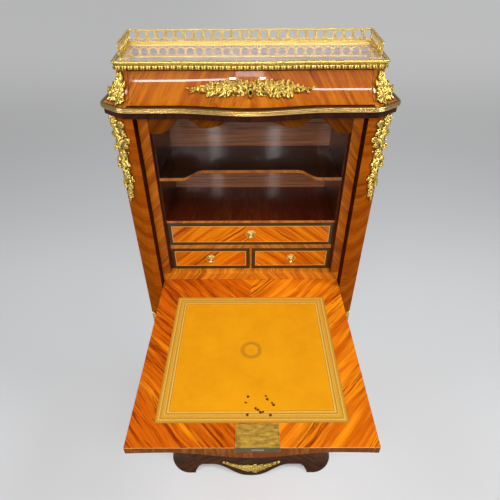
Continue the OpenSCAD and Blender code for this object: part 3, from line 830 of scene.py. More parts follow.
class Place:
    """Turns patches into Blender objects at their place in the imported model's frame."""

    @staticmethod
    def piece(
        name: str,
        patches: Sequence[Patch],
        finish: Finish,
        body: str,
        node: str,
        crease: float = 60.0,
    ) -> None:
        """Makes one metal piece.

        Args:
            name: The piece's name.
            patches: The patches that form it.
            finish: Its finish.
            body: The moving body that it rides on.
            node: The CAD node that it replaces.
            crease: Angle in degrees above which an edge stays sharp.
        """
        starts = np.cumsum([0] + [len(patch.points) for patch in patches]).tolist()
        points = np.concatenate([patch.points for patch in patches]) + [0.0, HINGE_Y, 0.0]
        faces = [
            [i + start for i in face]
            for patch, start in zip(patches, starts)
            for face in patch.faces
        ]
        mesh = bpy.data.meshes.new(name)
        mesh.from_pydata((points / PER_M).tolist(), [], faces)
        hollows = [np.zeros(len(p.points)) if p.hollow is None else p.hollow for p in patches]
        attribute = mesh.attributes.new("hollow", "FLOAT", "POINT")
        attribute.data.foreach_set("value", np.concatenate(hollows).astype(np.float32))
        mesh.polygons.foreach_set("use_smooth", np.ones(len(mesh.polygons), bool))
        mesh.update()
        mesh.set_sharp_from_angle(angle=math.radians(crease))
        Place.settle(bpy.data.objects.new(name, mesh), finish, body, "gilt_brass", node)

    @staticmethod
    def settle(made: bpy.types.Object, finish: Finish, body: str, slot: str, node: str) -> None:
        """Links a new object, finishes it and hangs it on its body in a CAD node's place."""
        bpy.context.scene.collection.objects.link(made)
        made.data.materials.clear()
        made.data.materials.append(material_of(finish))
        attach(made, body)
        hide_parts(node)
        log.info("%s: %d faces on %s", made.name, len(made.data.polygons), body)

    @staticmethod
    def eased(
        name: str, finish: Finish, ease: float = 0.8, crease: float = 28.0, slot: str = "veneer"
    ) -> None:
        """Stands a merged copy of a CAD node in its place, with eased edges.

        Args:
            name: The CAD node's name.
            finish: The copy's finish.
            ease: Width of the eased edges, or 0 for none.
            crease: Angle in degrees above which an edge is eased or stays sharp.
            slot: The record's material slot; it is not used.
        """
        node = frame["nodes"][name]
        form = bmesh.new()
        form.from_mesh(node.data)
        bmesh.ops.remove_doubles(form, verts=form.verts, dist=1e-6)
        flat = math.radians(0.05)
        bmesh.ops.dissolve_limit(form, angle_limit=flat, verts=form.verts, edges=form.edges)
        for edge in form.edges:
            edge.smooth = edge.is_manifold and edge.calc_face_angle() < math.radians(crease)
        mesh = bpy.data.meshes.new(node.name + "_form")
        form.to_mesh(mesh)
        form.free()
        mesh.polygons.foreach_set("use_smooth", np.ones(len(mesh.polygons), bool))
        packed_normals = mesh.attributes.get("custom_normal")
        if packed_normals is not None:
            mesh.attributes.remove(packed_normals)
        made = bpy.data.objects.new(node.name + "_eased", mesh)
        if ease:
            bevel = made.modifiers.new("ease", "BEVEL")
            bevel.width = ease / PER_M
            bevel.segments = 2
            bevel.limit_method = "ANGLE"
            bevel.angle_limit = math.radians(crease)
            bevel.harden_normals = True
        Place.settle(made, finish, body_of(node)[0], slot, node.name)


# Shapes that the pieces share


def swell_at(x: Array) -> Array:
    """Share of the full swelling: half of one plus the cosine, out to the span."""
    return np.where(np.abs(x) < SPAN, (1 + np.cos(np.pi * x / SPAN)) / 2, 0.0)


def front_at(x: Array) -> Array:
    """Thickness of the fronts: a flat part, the swelling and a small rise at the ends."""
    rise = np.clip(np.abs(x) - SPAN, 0, None) / (POST_IN - SPAN)
    return 15.5 + SWELL * swell_at(x) + 3.0 * rise**2


def frieze_share(z: Array) -> Array:
    """How far the hollow frieze has stepped back: a quarter circle from its foot to its head."""
    rise = np.clip((z - FRIEZE_FOOT) / (FRIEZE_HEAD - FRIEZE_FOOT), 0, 1)
    return np.sqrt(1 - (1 - rise) ** 2)


def frieze_y(x: Array, z: Array) -> Array:
    """Front of the hollow frieze, which swells less as it rises."""
    share = frieze_share(z)
    return -30.0 + 52.0 * share - (SWELL + (LEAST_SWELL - SWELL) * share) * swell_at(x)


def seat_on(front: Callable[[Array, Array], Array], gap: float) -> Seat:
    """Seat on an upright surface.

    Args:
        front: Gives the surface's y from x and height.
        gap: How far in front of the surface the seat lies.

    Returns:
        The seat: points on the surface, and normals square to its slopes.
    """

    def seat(u: Array, v: Array) -> tuple[Array, Array]:
        """Points and unit normals from x and height."""
        slope_x = (front(u + 1, v) - front(u - 1, v)) / 2
        slope_z = (front(u, v + 1) - front(u, v - 1)) / 2
        normals = unit(np.stack([slope_x, -np.ones_like(u), slope_z], -1))
        return np.stack([u, front(u, v) - gap, v], -1), normals

    return seat


@dataclass(frozen=True)
class Outline:
    """Plan of a moulding: a swelling front, cut corners and straight sides.

    Attributes:
        half: Half the width at the front.
        front: Where the front lies outside its swelling.
        bulge: How far its middle swells.
        cut: Width and depth of the cut corners.
        splay: How much wider each side is at its back.
        back: Where the sides end.
    """

    half: float
    front: float
    bulge: float
    cut: tuple[float, float]
    splay: float = 0.0
    back: float = 196.0

    def path(self, step: float = 1.0, soften: int = 15) -> Array:
        """Points along the plan.

        Args:
            step: Distance between points.
            soften: Number of points over which the corners are rounded.

        Returns:
            Points from the left side's back round to the right side's back.
        """
        wide, deep = self.cut
        xs = np.linspace(-self.half + wide, self.half - wide, 160)
        front = np.stack([xs, self.front - self.bulge * swell_at(xs)], 1)
        left = np.array(
            [[-self.half - self.splay, self.back], [-self.half, self.front + deep]]
        )
        corners = np.concatenate([left, front, left[::-1] * np.array([-1.0, 1.0])])
        gone = distances(corners)
        at = np.linspace(0, gone[-1], int(gone[-1] / step))
        path = np.stack([np.interp(at, gone, corners[:, k]) for k in (0, 1)], 1)
        ends = np.pad(path, ((soften, soften), (0, 0)), "edge")
        window = np.hanning(2 * soften + 3)[1:-1]
        window /= window.sum()
        smooth = np.stack([np.convolve(ends[:, k], window, "valid") for k in (0, 1)], 1)
        smooth[0], smooth[-1] = path[0], path[-1]
        return smooth


def distances(path: Array) -> Array:
    """Distance of each point of a path from its start, along the path."""
    return np.concatenate([[0], np.cumsum(np.linalg.norm(np.diff(path, axis=0), axis=1))])


def moulding(
    path: Array, profile: Callable[[Array, Array], tuple[Array, Array, Array]], points: int
) -> Patch:
    """Carries a profile along a plan.

    Args:
        path: The plan's points.
        profile: Gives how far out and how high the profile lies and how deep in a hollow,
            from the distance along the path and the place round the profile, 0 to 1.
        points: Number of points round the profile.

    Returns:
        The moulding: each point is the path's plus its outward normal times how far out.
    """
    turn = np.linspace(0, 1, points, endpoint=False)[None, :]
    out, up, hollow = np.broadcast_arrays(*profile(distances(path)[:, None], turn))
    outward = unit(np.gradient(path, axis=0))[:, ::-1] * [1, -1]
    plan = path[:, None] + outward[:, None] * out[..., None]
    made = loft(np.concatenate([plan, up[..., None]], -1))
    made.hollow = hollow.ravel()
    return made


# Cast mounts


class Motif(Enum):
    """Forms that a cast mount is built up from."""

    LEAF = "leaf"
    FLOWER = "flower"
    BERRY = "berry"
    SCROLL = "scroll"


@dataclass(frozen=True)
class Sprig:
    """One form of a mount, lying on its seat.

    Attributes:
        motif: Which form it is.
        u: Where its foot or middle lies across the mount.
        v: Where it lies up the mount.
        turn: The direction in which a leaf points, in degrees.
        length: Length of a leaf, or radius of a flower, berry or scroll.
        width: Half the width of a leaf or of a scroll's band, or number of a flower's petals.
        height: How far it stands out.
    """

    motif: Motif
    u: float
    v: float
    turn: float
    length: float
    width: float
    height: float

    def paired(self) -> list["Sprig"]:
        """This form, and its like on the other side of the mount's middle."""
        turn = 180 - self.turn if self.motif is Motif.LEAF else self.turn
        return [replace(self, u=-self.u, turn=turn), self]

    def over(self, u: Array, v: Array) -> Array:
        """Height of this form over a grid, and 0 outside it.

        Args:
            u: Places across the mount.
            v: Places up the mount.

        Returns:
            For a leaf, a dome across its width with a groove down its middle, slanted veins
            and a lobed edge; for a flower, petals that dip towards a domed middle; for a
            berry, half a ball; for a scroll, a round band that winds in to a knob.
        """
        du, dv = u - self.u, v - self.v
        if self.motif is Motif.LEAF:
            turn = math.radians(self.turn)
            p = (du * math.cos(turn) + dv * math.sin(turn)) / self.length
            q = -du * math.sin(turn) + dv * math.cos(turn)
            droop = 0.18 * self.length * (1 if self.turn % 360 < 180 else -1)
            q = q - droop * np.clip(p, 0, 1) ** 2
            inside = np.clip(p, 0.001, 0.999)
            lobes = 1 + 0.2 * np.sin(inside * 6 * np.pi + 0.6)
            width = self.width * np.sin(np.pi * inside**0.7) ** 0.7 * lobes
            share = np.clip(np.abs(q) / np.maximum(width, 0.01), 0, 1)
            body = 0.45 + 0.55 * np.sin(np.pi * inside) ** 0.6 + 0.25 * inside**2
            dome = np.sqrt(1 - share**2) * body
            groove = 0.3 * np.exp(-((q / (0.16 * self.width)) ** 2))
            veins = 0.13 * np.cos(14 * inside - 5 * share)
            rise = np.clip(dome * (1 - groove + veins), 0.12, None)
            return np.where((p > 0) & (p < 1) & (share < 1), self.height * rise, 0.0)
        radius = np.hypot(du, dv) / self.length
        if self.motif is Motif.BERRY:
            return self.height * np.sqrt(np.clip(1 - radius**2, 0, None))
        phase = np.arctan2(dv, du) + math.radians(self.turn)
        if self.motif is Motif.SCROLL:
            wound = (phase / (2 * np.pi)) % 1
            band = self.width / self.length
            turns = [np.abs(radius - (1 - band - 0.42 * (wound + k))) for k in (0, 1)]
            gaps = np.minimum(*turns) / band
            coil, knob = (np.sqrt(np.clip(1 - part**2, 0, None)) for part in (gaps, radius / 0.26))
            return self.height * np.maximum(coil, knob)
        petal = np.abs(np.cos(phase * self.width / 2))
        edge = 0.72 + 0.28 * petal**0.6
        cup = 0.5 + 0.5 * np.sin(np.pi * np.clip(radius / edge, 0, 1)) * (0.5 + 0.5 * petal)
        boss = 0.55 * np.exp(-((radius / 0.2) ** 2))
        rise = self.height * (cup + boss) * (1 - 0.35 * (1 - petal) ** 4)
        return np.where(radius < edge, rise, 0.0)


@dataclass
class Mount:
    """A cast and chased mount, built as a height over its seat.

    Attributes:
        sprigs: The forms that it is built up from.
        seat: Gives points and outward normals from places across and up the mount.
        cell: Size of the grid.
        holes: Keyholes, each with its place and radius and a raised ring round it.
    """

    sprigs: list[Sprig]
    seat: Seat
    cell: float = 0.8
    holes: tuple[tuple[float, float, float], ...] = ()

    def patch(self) -> Patch:
        """Builds the mount.

        Returns:
            A closed patch: its top is the seat plus the normal times the greatest height of
            all forms, its back lies on the seat, and a wall joins them round the edge.
        """
        reach = max(sprig.length for sprig in self.sprigs)
        places = ([sprig.u for sprig in self.sprigs], [sprig.v for sprig in self.sprigs])
        u, v = np.meshgrid(*(np.arange(min(p) - reach, max(p) + reach, self.cell) for p in places))
        rise = reduce(np.maximum, (sprig.over(u, v) for sprig in self.sprigs), np.zeros_like(u))
        for at_u, at_v, radius in self.holes:
            gap = np.hypot(u - at_u, v - at_v)
            rise[gap < radius + 2.4] = rise.max() * 0.95
            rise[gap < radius] = 0.2
        kept = rise > 0
        cells = kept[:-1, :-1] & kept[1:, :-1] & kept[:-1, 1:] & kept[1:, 1:]
        near = [(i, j) for i in range(-2, 3) for j in range(-2, 3)]
        soft = sum(np.roll(np.pad(rise, 3), step, (0, 1)) for step in near)[3:-3, 3:-3] / len(near)
        # Hollows and the low ground between forms, which the gilt darkens as painted shade and
        # patina; the hidden back counts as fully hollow
        low = np.clip(1 - rise / (0.6 * rise.max()), 0, 1)
        hollow = np.clip((soft - rise) / 0.9 + 0.12 + 0.6 * low, 0, 1)
        points, normals = self.seat(u, v)
        top = points + normals * (rise + 0.3)[..., None]
        back = points + normals * 0.15
        count = u.size
        index = np.arange(count).reshape(u.shape)
        a, b, c, d = index[:-1, :-1], index[:-1, 1:], index[1:, 1:], index[1:, :-1]
        quad = np.stack([a, b, c, d], -1)[cells]
        walls = []
        for axis, shift, start, stop in ((0, 1, a, b), (0, -1, c, d), (1, 1, d, a), (1, -1, b, c)):
            rim = cells & ~np.roll(np.pad(cells, 1), shift, axis)[1:-1, 1:-1]
            first, last = start[rim], stop[rim]
            walls.append(np.stack([last, first, first + count, last + count], -1))
        faces = np.concatenate([quad, quad[:, ::-1] + count, *walls])
        used, compact = np.unique(faces, return_inverse=True)
        everything = np.concatenate([top.reshape(-1, 3), back.reshape(-1, 3)])
        depth = np.concatenate([hollow.ravel(), np.ones(count)])
        return Patch(everything[used], compact.reshape(faces.shape).tolist(), depth[used])


def corner_seat(u: Array, v: Array) -> tuple[Array, Array]:
    """Seat on the cut corner of the right front post.

    Args:
        u: Distance across the corner from its middle; less than 0 is towards the front.
        v: Height.

    Returns:
        Points on the post, and normals that turn smoothly from its front to its side.
    """
    half = POST_CUT / math.sqrt(2)
    side_y = POST_Y + POST_CUT
    at = [-half - 16, -half, half, half + 60]
    x = np.interp(u, at, [POST_IN, CASE_HALF - POST_CUT, CASE_HALF, CASE_HALF])
    y = np.interp(u, at, [POST_Y, POST_Y, side_y, side_y + 60])
    edges = [-half - 6, -half + 6, half - 6, half + 6]
    turn = np.interp(u, edges, [-math.pi / 2, -math.pi / 4, -math.pi / 4, 0.0])
    return np.stack([x, y, v], -1), np.stack([np.cos(turn), np.sin(turn), 0 * turn], -1)


CHUTE = (
    (Motif.SCROLL, -14, -11, 200, 9.5, 2.6, 6.0), (Motif.LEAF, 2, -15, 72, 14, 5.5, 6.5),
    (Motif.LEAF, 8, -13, 28, 16, 5.5, 6.0), (Motif.LEAF, 7, -17, -8, 17, 5.0, 5.5),
    (Motif.LEAF, 2, -14, -42, 23, 6.0, 7.0), (Motif.FLOWER, 7, -17, 10, 8.5, 5, 8.0),
    (Motif.LEAF, 3, -23, -97, 25, 6.5, 8.0), (Motif.LEAF, -8, -24, -140, 20, 4.5, 5.5),
    (Motif.SCROLL, -20, -44, 30, 9.0, 2.0, 4.5), (Motif.LEAF, 12, -34, -55, 17, 4.5, 6.0),
    (Motif.FLOWER, -3, -48, 25, 9.0, 5, 8.0), (Motif.LEAF, 3, -50, -72, 20, 5.0, 6.0),
    (Motif.LEAF, -9, -52, -150, 17, 4.5, 5.0), (Motif.BERRY, 13, -56, 0, 2.8, 0, 5.5),
    (Motif.FLOWER, 14, -70, 0, 7.5, 5, 7.0), (Motif.FLOWER, -8, -74, 40, 8.0, 6, 7.0),
    (Motif.BERRY, 3, -66, 0, 2.6, 0, 5.5), (Motif.BERRY, -19, -68, 0, 2.4, 0, 4.5),
    (Motif.LEAF, 5, -74, -82, 19, 5.0, 6.0), (Motif.LEAF, 12, -86, 207, 42, 8.5, 8.5),
    (Motif.LEAF, 15, -90, -62, 18, 4.5, 6.0), (Motif.FLOWER, 17, -112, 15, 7.5, 5, 7.0),
    (Motif.LEAF, 6, -100, -98, 22, 5.0, 6.0), (Motif.FLOWER, -5, -122, 0, 11.0, 8, 8.0),
    (Motif.LEAF, -10, -126, -150, 16, 4.5, 5.0), (Motif.LEAF, 4, -127, -55, 18, 4.5, 5.5),
    (Motif.LEAF, -6, -134, -108, 21, 5.0, 6.5), (Motif.LEAF, 10, -141, -80, 20, 4.5, 6.0),
    (Motif.FLOWER, -8, -148, 0, 6.0, 5, 6.0), (Motif.FLOWER, 10, -157, 30, 6.5, 5, 6.0),
    (Motif.LEAF, 1, -156, -96, 20, 4.0, 5.0), (Motif.FLOWER, 3, -169, 10, 6.0, 5, 5.5),
    (Motif.LEAF, 0, -170, -128, 14, 3.5, 4.5), (Motif.LEAF, 6, -170, -55, 13, 3.5, 4.5),
    (Motif.FLOWER, 2, -180, 0, 5.0, 5, 5.0), (Motif.LEAF, 4, -181, -72, 14, 3.4, 4.4),
)


def chute(top: float, long: float, wide: float) -> list[Sprig]:
    """Leaves, flowers and scrolls of a hanging mount on the right post.

    Args:
        top: Height of its top.
        long: Its length as a share of the table's.
        wide: Its width as a share of the table's.

    Returns:
        The table's forms, fitted to that size, over two rows of low leaves.
    """
    made = [
        Sprig(motif, (u + 2.5) * wide, top + v * long, turn, length * long,
              width if motif is Motif.FLOWER else width * wide, height)
        for motif, u, v, turn, length, width, height in CHUTE
    ]
    for k in range(18):
        taper = 1 - 0.03 * k
        v = top - (11 + 9.3 * k) * long
        made += [
            Sprig(Motif.LEAF, (4 + 3 * side) * wide * taper, v, 270 + side * (38 + 14 * (k % 3)),
                  21 * taper * long, 5.4 * taper * wide, 3.6)
            for side in (-1, 1)
        ]
    return made


def garland(half: float, rise: float, middle_v: float, seed: int) -> list[Sprig]:
    """Leaves and flowers of a lying mount, the same on both sides of its middle.

    Args:
        half: Half its length.
        rise: Half its height at its widest.
        middle_v: Height of its middle.
        seed: Seed of its small irregularities.

    Returns:
        Its forms, drawn out to a leaf at each end, with a notch over the middle.
    """
    random = np.random.default_rng(seed)
    made = [Sprig(Motif.LEAF, half * 0.84, middle_v - 5.5, 0, half * 0.16, 2.8, 4.0)]
    count = int(half / 11)
    for i in range(count):
        share = (i + 0.45) / count
        tall = rise * min(1.0, 1.7 * (1 - share**1.25) + 0.1) * (0.8 if i == 0 else 1.0)
        x = half * share * 0.92
        height = random.uniform(4.5, 7.0)
        turns = [random.uniform(*ends) for ends in ((35, 75), (-75, -30), (-8, 22), (125, 160))]
        length = max(8.0, tall * random.uniform(0.85, 1.1) * 1.05)
        v = middle_v - 6.0 * share + random.uniform(-1.0, 1.0)
        made.append(Sprig(Motif.FLOWER, x, v, 40 * i, tall * 0.82, 7, 2.6))
        for turn in turns:
            made.append(Sprig(Motif.LEAF, x, v, turn, length, max(2.8, tall * 0.34), height))
        if i % 3 == 1:
            size = tall * 0.4 + 1.5
            made.append(Sprig(Motif.FLOWER, x + 3, v + 2, 25 * i, size, 5, height + 2.2))
        elif i % 3 == 2:
            up, size = v + tall * 0.4, tall * 0.34 + 1.0
            made.append(Sprig(Motif.SCROLL, x + 2, up, 70 * i, size, 1.4, height + 0.8))
            for at in (x - 2, x + 1, x + 4):
                made.append(Sprig(Motif.BERRY, at, v - tall * 0.5, 0, 2.0, 0, height + 1))
    return [form for sprig in made for form in sprig.paired()]


def swag(half: float, sag: float, middle_v: float, seed: int) -> list[Sprig]:
    """Leaves and berries of a festoon that hangs between two raised ends.

    Args:
        half: Half its length.
        sag: How far its middle hangs below its ends.
        middle_v: Height of its lowest part.
        seed: Seed of its small irregularities.

    Returns:
        Its forms, laid along a parabola and thickest in the middle.
    """
    random = np.random.default_rng(seed)
    made = Sprig(Motif.FLOWER, half * 0.94, middle_v + sag, 15, 6.0, 5, 5.0).paired()
    count = int(half / 9)
    for i in range(count):
        share = i / (count - 1)
        x = half * share * 0.9
        v = middle_v + sag * share**2
        size = 23.0 - 15.0 * share**0.7 + random.uniform(-1.5, 1.5)
        slope = math.degrees(math.atan(2 * sag * share / half))
        for side in (0, 1):
            for lean in (slope + random.uniform(25, 50), slope - random.uniform(25, 50)):
                leaf = Sprig(Motif.LEAF, x, v, lean, size, size * 0.3, random.uniform(2.8, 4.0))
                made.append(leaf.paired()[side])
        if i % 2 == 0:
            made += Sprig(Motif.FLOWER, x, v, 30 * i, size * 0.42, 5, 4.8).paired()
        else:
            made += Sprig(Motif.BERRY, x, v, 0, size * 0.2, 0, 4.6).paired()
    return made


def acanthus(foot: float, height: float, half: float) -> list[Sprig]:
    """Upright leaves of a mount that is wide at its foot.

    Args:
        foot: Height of its foot.
        height: Its height.
        half: Half its width at the foot.

    Returns:
        Its forms: a tall middle leaf, side leaves that reach further outward than inward,
        scrolls at the foot and a flower at the top.
    """
    made = [
        Sprig(Motif.LEAF, 4, foot + 3, 90, height * 0.94, half * 0.28, 7.5),
        Sprig(Motif.FLOWER, 4, foot + 7, 0, 8.0, 6, 8.5),
        Sprig(Motif.FLOWER, 2, foot + height * 0.85, 0, 5.5, 5, 7.0),
    ]
    for side, reach in ((-1, 0.78), (1, 1.12)):
        for out, up, lean, length, width, rise in (
            (2, 4, 20, height * 0.72, half * 0.22, 6.0),
            (4, 2, 46, height * 0.56 * reach, half * 0.2, 6.5),
            (5, 3, 76, half * 0.95 * reach, half * 0.2, 6.0),
        ):
            turn = 90 - side * lean
            made.append(Sprig(Motif.LEAF, 4 + side * out, foot + up, turn, length, width, rise))
        scroll_u = 4 + side * half * 0.6 * reach
        made.append(Sprig(Motif.SCROLL, scroll_u, foot + 10, 90 - side * 60, 6.5, 1.8, 6.0))
        upper = foot + height * 0.62
        made.append(Sprig(Motif.LEAF, 3 + side, upper, 90 - side * 34, height * 0.3, 3.4, 6.0))
    return made


def shield(v: float, half: float, rise: float) -> list[Sprig]:
    """Leafy frame of a keyhole, its hole left to the mount.

    Args:
        v: Its middle height.
        half: Half its width.
        rise: Half its height.

    Returns:
        Its forms: leaves round an oval, and a crest and a foot.
    """
    made = [Sprig(Motif.BERRY, 0.0, v, 0, half * 0.8, 0, 1.6)]
    for turn in range(0, 360, 30):
        at = math.radians(turn)
        u, up = 0.42 * half * math.cos(at), 0.42 * rise * math.sin(at)
        made.append(Sprig(Motif.LEAF, u, v + up, turn + 28, half * 0.62, half * 0.17, 2.6))
    for up in (-1, 1):
        tip = v + up * rise * 0.45
        made.append(Sprig(Motif.LEAF, 0.0, tip, 90 * up, rise * 0.55, half * 0.28, 3.0))
    return made


# Sub-assemblies


GILT = Gilt("gilt_bronze")
OPENWORK = Gilt("openwork_gilt", rough=0.3, chased=0.0005, mottle=0.6)
ROSETTE = Gilt("rosette_gilt", (0.95, 0.74, 0.22), (0.05, 0.028, 0.008), 0.28, 0.0006, 0.95)
POLISHED = Gilt("polished_brass", (0.80, 0.56, 0.21), (0.22, 0.12, 0.03), 0.16, 0.0001)
MAHOGANY = Timber("dark_mahogany", (0.085, 0.022, 0.008), (0.03, 0.007, 0.003))
BACK = Timber("back_wood", (0.31, 0.11, 0.044), (0.12, 0.04, 0.016), 0.5, 0.4)
OAK = Timber("plain_oak", (0.30, 0.16, 0.06), (0.19, 0.09, 0.03), 0.0, 0.6)
FRIEZE = Veneer(
    "frieze_veneer", angle=-58.0, streak=3.8, strength=1.2, seed=31.0, coat=0.8,
    tones=((0.48, 0.135, 0.003), (0.33, 0.070, 0.002), (0.09, 0.011, 0.001)),
)


@dataclass
class Carcass:
    """Sides, posts, rails and boards of the case.

    Attributes:
        post: Veneer of the front posts, with painted shade on their inner faces beside the fall.
        side: Veneer of the side panels.
        rail: Veneer of the rail under the fall.
        sub_top: Veneer of the board under the cornice, painted near-black as the shade under the
            cornice.
    """

    post: Veneer = Veneer(
        "post_veneer", angle=8.0, streak=7.0, wave=9.0, strength=0.8, seed=3.0, rough=0.5,
        # The zone is painted shade on the posts' inner faces beside the fall
        coat=0.0, gloss=0.0, zones=(Zone(Axis.ACROSS, -1.0, POST_IN + 0.7, (0.045, 0.012, 0.004)),),
        tones=((0.36, 0.086, 0.004), (0.25, 0.048, 0.002), (0.11, 0.016, 0.001)),
    )
    side: Veneer = Veneer("side_veneer", Plane.SIDE, 62.0, seed=11.0, streak=9.0)
    rail: Veneer = Veneer("rail_veneer", angle=-42.0, seed=5.0)
    sub_top: Veneer = Veneer(
        "sub_top_veneer", angle=-60.0, seed=7.0, coat=0.02,
        # Near-black tones: painted shade under the cornice
        tones=((0.05, 0.012, 0.004), (0.03, 0.008, 0.003), (0.012, 0.004, 0.002)),
    )

    def build(self) -> None:
        """Dresses the case."""
        for name in ("front_post_left", "front_post_right"):
            Place.eased(name, self.post, 1.2)
        dress(self.side, "side_panel_left", "side_panel_right")
        Place.eased("waist_rail", self.rail)
        Place.eased("sub_top", self.sub_top, 1.0)
        dress(BACK, "back_panel")
        dress(MAHOGANY, "frieze_top_board")
        dress(OAK, "bottom_board", "dust_boards")
        dress(POLISHED, "pivot_bushes")


@dataclass
class Plinth:
    """Shaped base with its feet and its festoon.

    Attributes:
        wood: Dark veneer of the base.
        festoon: Half the festoon's length, its sag and the height of its lowest part.
        height: Height of the plinth.
        flare: How far it flares at the floor.
    """

    wood: Veneer = Veneer(
        "plinth_veneer", angle=-30.0, streak=10.0, seed=21.0, coat=0.08,
        tones=((0.07, 0.025, 0.007), (0.04, 0.014, 0.005), (0.015, 0.006, 0.003)),
    )
    festoon: tuple[float, float, float] = (110.0, 11.0, 33.0)
    height: float = 110.0
    flare: float = 43.0

    def front_y(self, x: Array, z: Array) -> Array:
        """Front of the plinth: it swells as the case does and flares towards the floor."""
        share = np.clip(1 - z / self.height, 0, None) ** 1.6
        return -31.0 - (SWELL - LEAST_SWELL * share) * swell_at(x) - self.flare * share

    def build(self) -> None:
        """Dresses the base and casts its festoon."""
        for name in ("plinth_front", "plinth_sides", "front_feet"):
            Place.eased(name, self.wood, 1.2, 38.0)
        cast = Mount(swag(*self.festoon, 5), seat_on(self.front_y, 0.4)).patch()
        Place.piece("plinth_festoon", [cast], GILT, "case", "plinth_mount", 35.0)


@dataclass
class TopWorks:
    """Frieze ends, metal mouldings, stone and gallery.

    Attributes:
        sub: Plan of the sub-top's edge, which carries the reeded cornice.
        head: Plan of the frieze's head, which carries the leafy rim.
        cornice_z: Height of the cornice's foot and top.
        rim_z: Height of the rim's foot and top.
        leaf: Width of a leaf on the rim.
        spacing: Distance between the gallery's large rings.
        side_end: Where the side galleries end, in plan.
    """

    sub: Outline = Outline(288.0, -31.0, SWELL, (44.0, 36.0))
    head: Outline = Outline(259.0, 22.0, LEAST_SWELL, (6.0, 3.0), 17.0, 195.5)
    cornice_z: tuple[float, float] = (1367.0, FRIEZE_FOOT)
    rim_z: tuple[float, float] = (FRIEZE_HEAD, 1446.0)
    leaf: float = 11.6
    spacing: float = 20.8
    side_end: tuple[float, float] = (250.5, 47.0)

    def reeds(self, gone: Array, turn: Array) -> tuple[Array, Array, Array]:
        """Profile of the cornice: three half-round reeds, the middle one furthest out.

        Args:
            gone: Distance along the plan.
            turn: Place round the profile, from 0 to 1.

        Returns:
            How far out, how high, and how deep between the reeds.
        """
        low, high = self.cornice_z
        on_face = turn < 0.8
        up = np.where(on_face, turn / 0.8, 1 - (turn - 0.8) / 0.2)
        reed = np.sqrt(np.clip(1 - (2 * ((up * 3) % 1) - 1) ** 2, 0, None))
        lean = 1 - 0.45 * (2 * up - 1) ** 2
        out = np.where(on_face, 3.6 + 2.0 * lean + 2.1 * reed, 0.4)
        # Painted shade between the reeds and over the top face
        hollow = np.where(on_face, (1 - reed) ** 1.5, 1.0)
        return out + 0 * gone, low + (high - low) * up, hollow

    def leaves(self, gone: Array, turn: Array) -> tuple[Array, Array, Array]:
        """Profile of the rim: a plain band over a row of leaves that point down.

        Args:
            gone: Distance along the plan.
            turn: Place round the profile, from 0 to 1.

        Returns:
            How far out, how high, and how deep in a hollow. Each leaf is half a sine wide,
            domed across, with a groove down its middle, and its tip is its lowest point.
        """
        low, high = self.rim_z
        phase = (gone / self.leaf) % 1
        dome = np.sqrt(np.sin(np.pi * phase))
        groove = np.exp(-(((phase - 0.5) / 0.08) ** 2))
        # Places round the plain profile, how far out it lies there, and how high
        places, outs, ups = np.array([
            (0.0, -3.6, 1.0), (0.12, -3.6, 0.1), (0.2, 0.2, 0.1), (0.26, 1.6, 0.04),
            (0.34, 3.0, 0.1), (0.42, 3.8, 0.24), (0.5, 3.6, 0.4), (0.56, 2.6, 0.52),
            (0.62, 0.2, 0.58), (0.68, 0.2, 0.68), (0.74, 3.4, 0.7), (0.8, 4.6, 0.78),
            (0.88, 4.6, 0.92), (0.94, 3.6, 1.0), (1.0, -3.6, 1.0),
        ]).T
        on_leaf = np.interp(turn, [0.2, 0.28, 0.5, 0.58], [0.5, 1.0, 1.0, 0.0])
        on_leaf = on_leaf * (turn > 0.16) * (turn < 0.6)
        out = np.interp(turn, places, outs) + on_leaf * (2.2 * dome - groove - 2.4)
        tip = 0.24 * (1 - dome) * np.interp(turn, [0.2, 0.5], [1.0, 0.0])
        share = np.interp(turn, places, ups) + on_leaf * tip
        # Painted shade between the leaves, down their grooves and in the groove under the row
        between = np.exp(-((np.minimum(phase, 1 - phase) / 0.12) ** 2)) + 0.7 * groove
        under = 0.7 * np.exp(-(((turn - 0.64) / 0.03) ** 2))
        return out, low + (high - low) * share, np.clip(on_leaf * between + under, 0, 1)

    def corner(self, u: Array, v: Array) -> tuple[Array, Array]:
        """Seat on the right cut corner of the hollow frieze.

        Args:
            u: Distance across the corner from its middle.
            v: Height.

        Returns:
            Points on the corner, which narrows and steps back as it rises, and normals.
        """
        # Half width, front, and the cut's width and depth, at the frieze's foot and head
        plans = np.array([[287.0, -30.0, 44.0, 36.0], [259.0, 22.0, 22.0, 12.0]])
        foot, head = plans[..., None, None]

        def middle(height: Array) -> tuple[Array, Array]:
            """Middle of the corner's line at a height."""
            half, front, wide, deep = foot + (head - foot) * frieze_share(height)
            return half - wide / 2, front + deep / 2

        x, y = middle(v)
        x2, y2 = middle(v + 1.0)
        out_x, out_y = 0.67, -0.74
        slope = -((x2 - x) * out_x + (y2 - y) * out_y)
        points = np.stack([x - out_y * u + 0.3, y + out_x * u - 0.3, v], -1)
        return points, unit(np.stack([out_x + 0 * u, out_y + 0 * u, slope], -1))

    def fence(
        self, start: Array, stop: Array, low: float, high: float, scrolled: bool
    ) -> list[Patch]:
        """Pierced strip of cast rings between rails.

        Args:
            start: Where its middle line starts in plan.
            stop: Where it ends in plan.
            low: Height of its foot.
            high: Height of its top.
            scrolled: Whether its end runs out in a scroll.

        Returns:
            Rails, a row of large rings, small rings at their feet, and uprights with knots.
        """
        run = np.linalg.norm(stop - start)
        ahead = (stop - start) / run
        across = np.array([-ahead[1], ahead[0]])
        count = round(run / self.spacing)
        pitch = run / count

        def rail(z: float, thick: float, wide: float) -> Patch:
            """Straight bar with a rounded front."""
            sides = np.array([[-1, -1], [1, -1], [1.1, 0], [1, 1], [-1, 1], [-1.1, 0]])
            section = sides * [wide, thick]
            rings = np.stack([start, stop])[:, None] + across * section[None, :, :1]
            heights = np.broadcast_to(section[None, :, 1:] + z, (2, len(sides), 1))
            return loft(np.concatenate([rings, heights], -1)[:, ::-1])

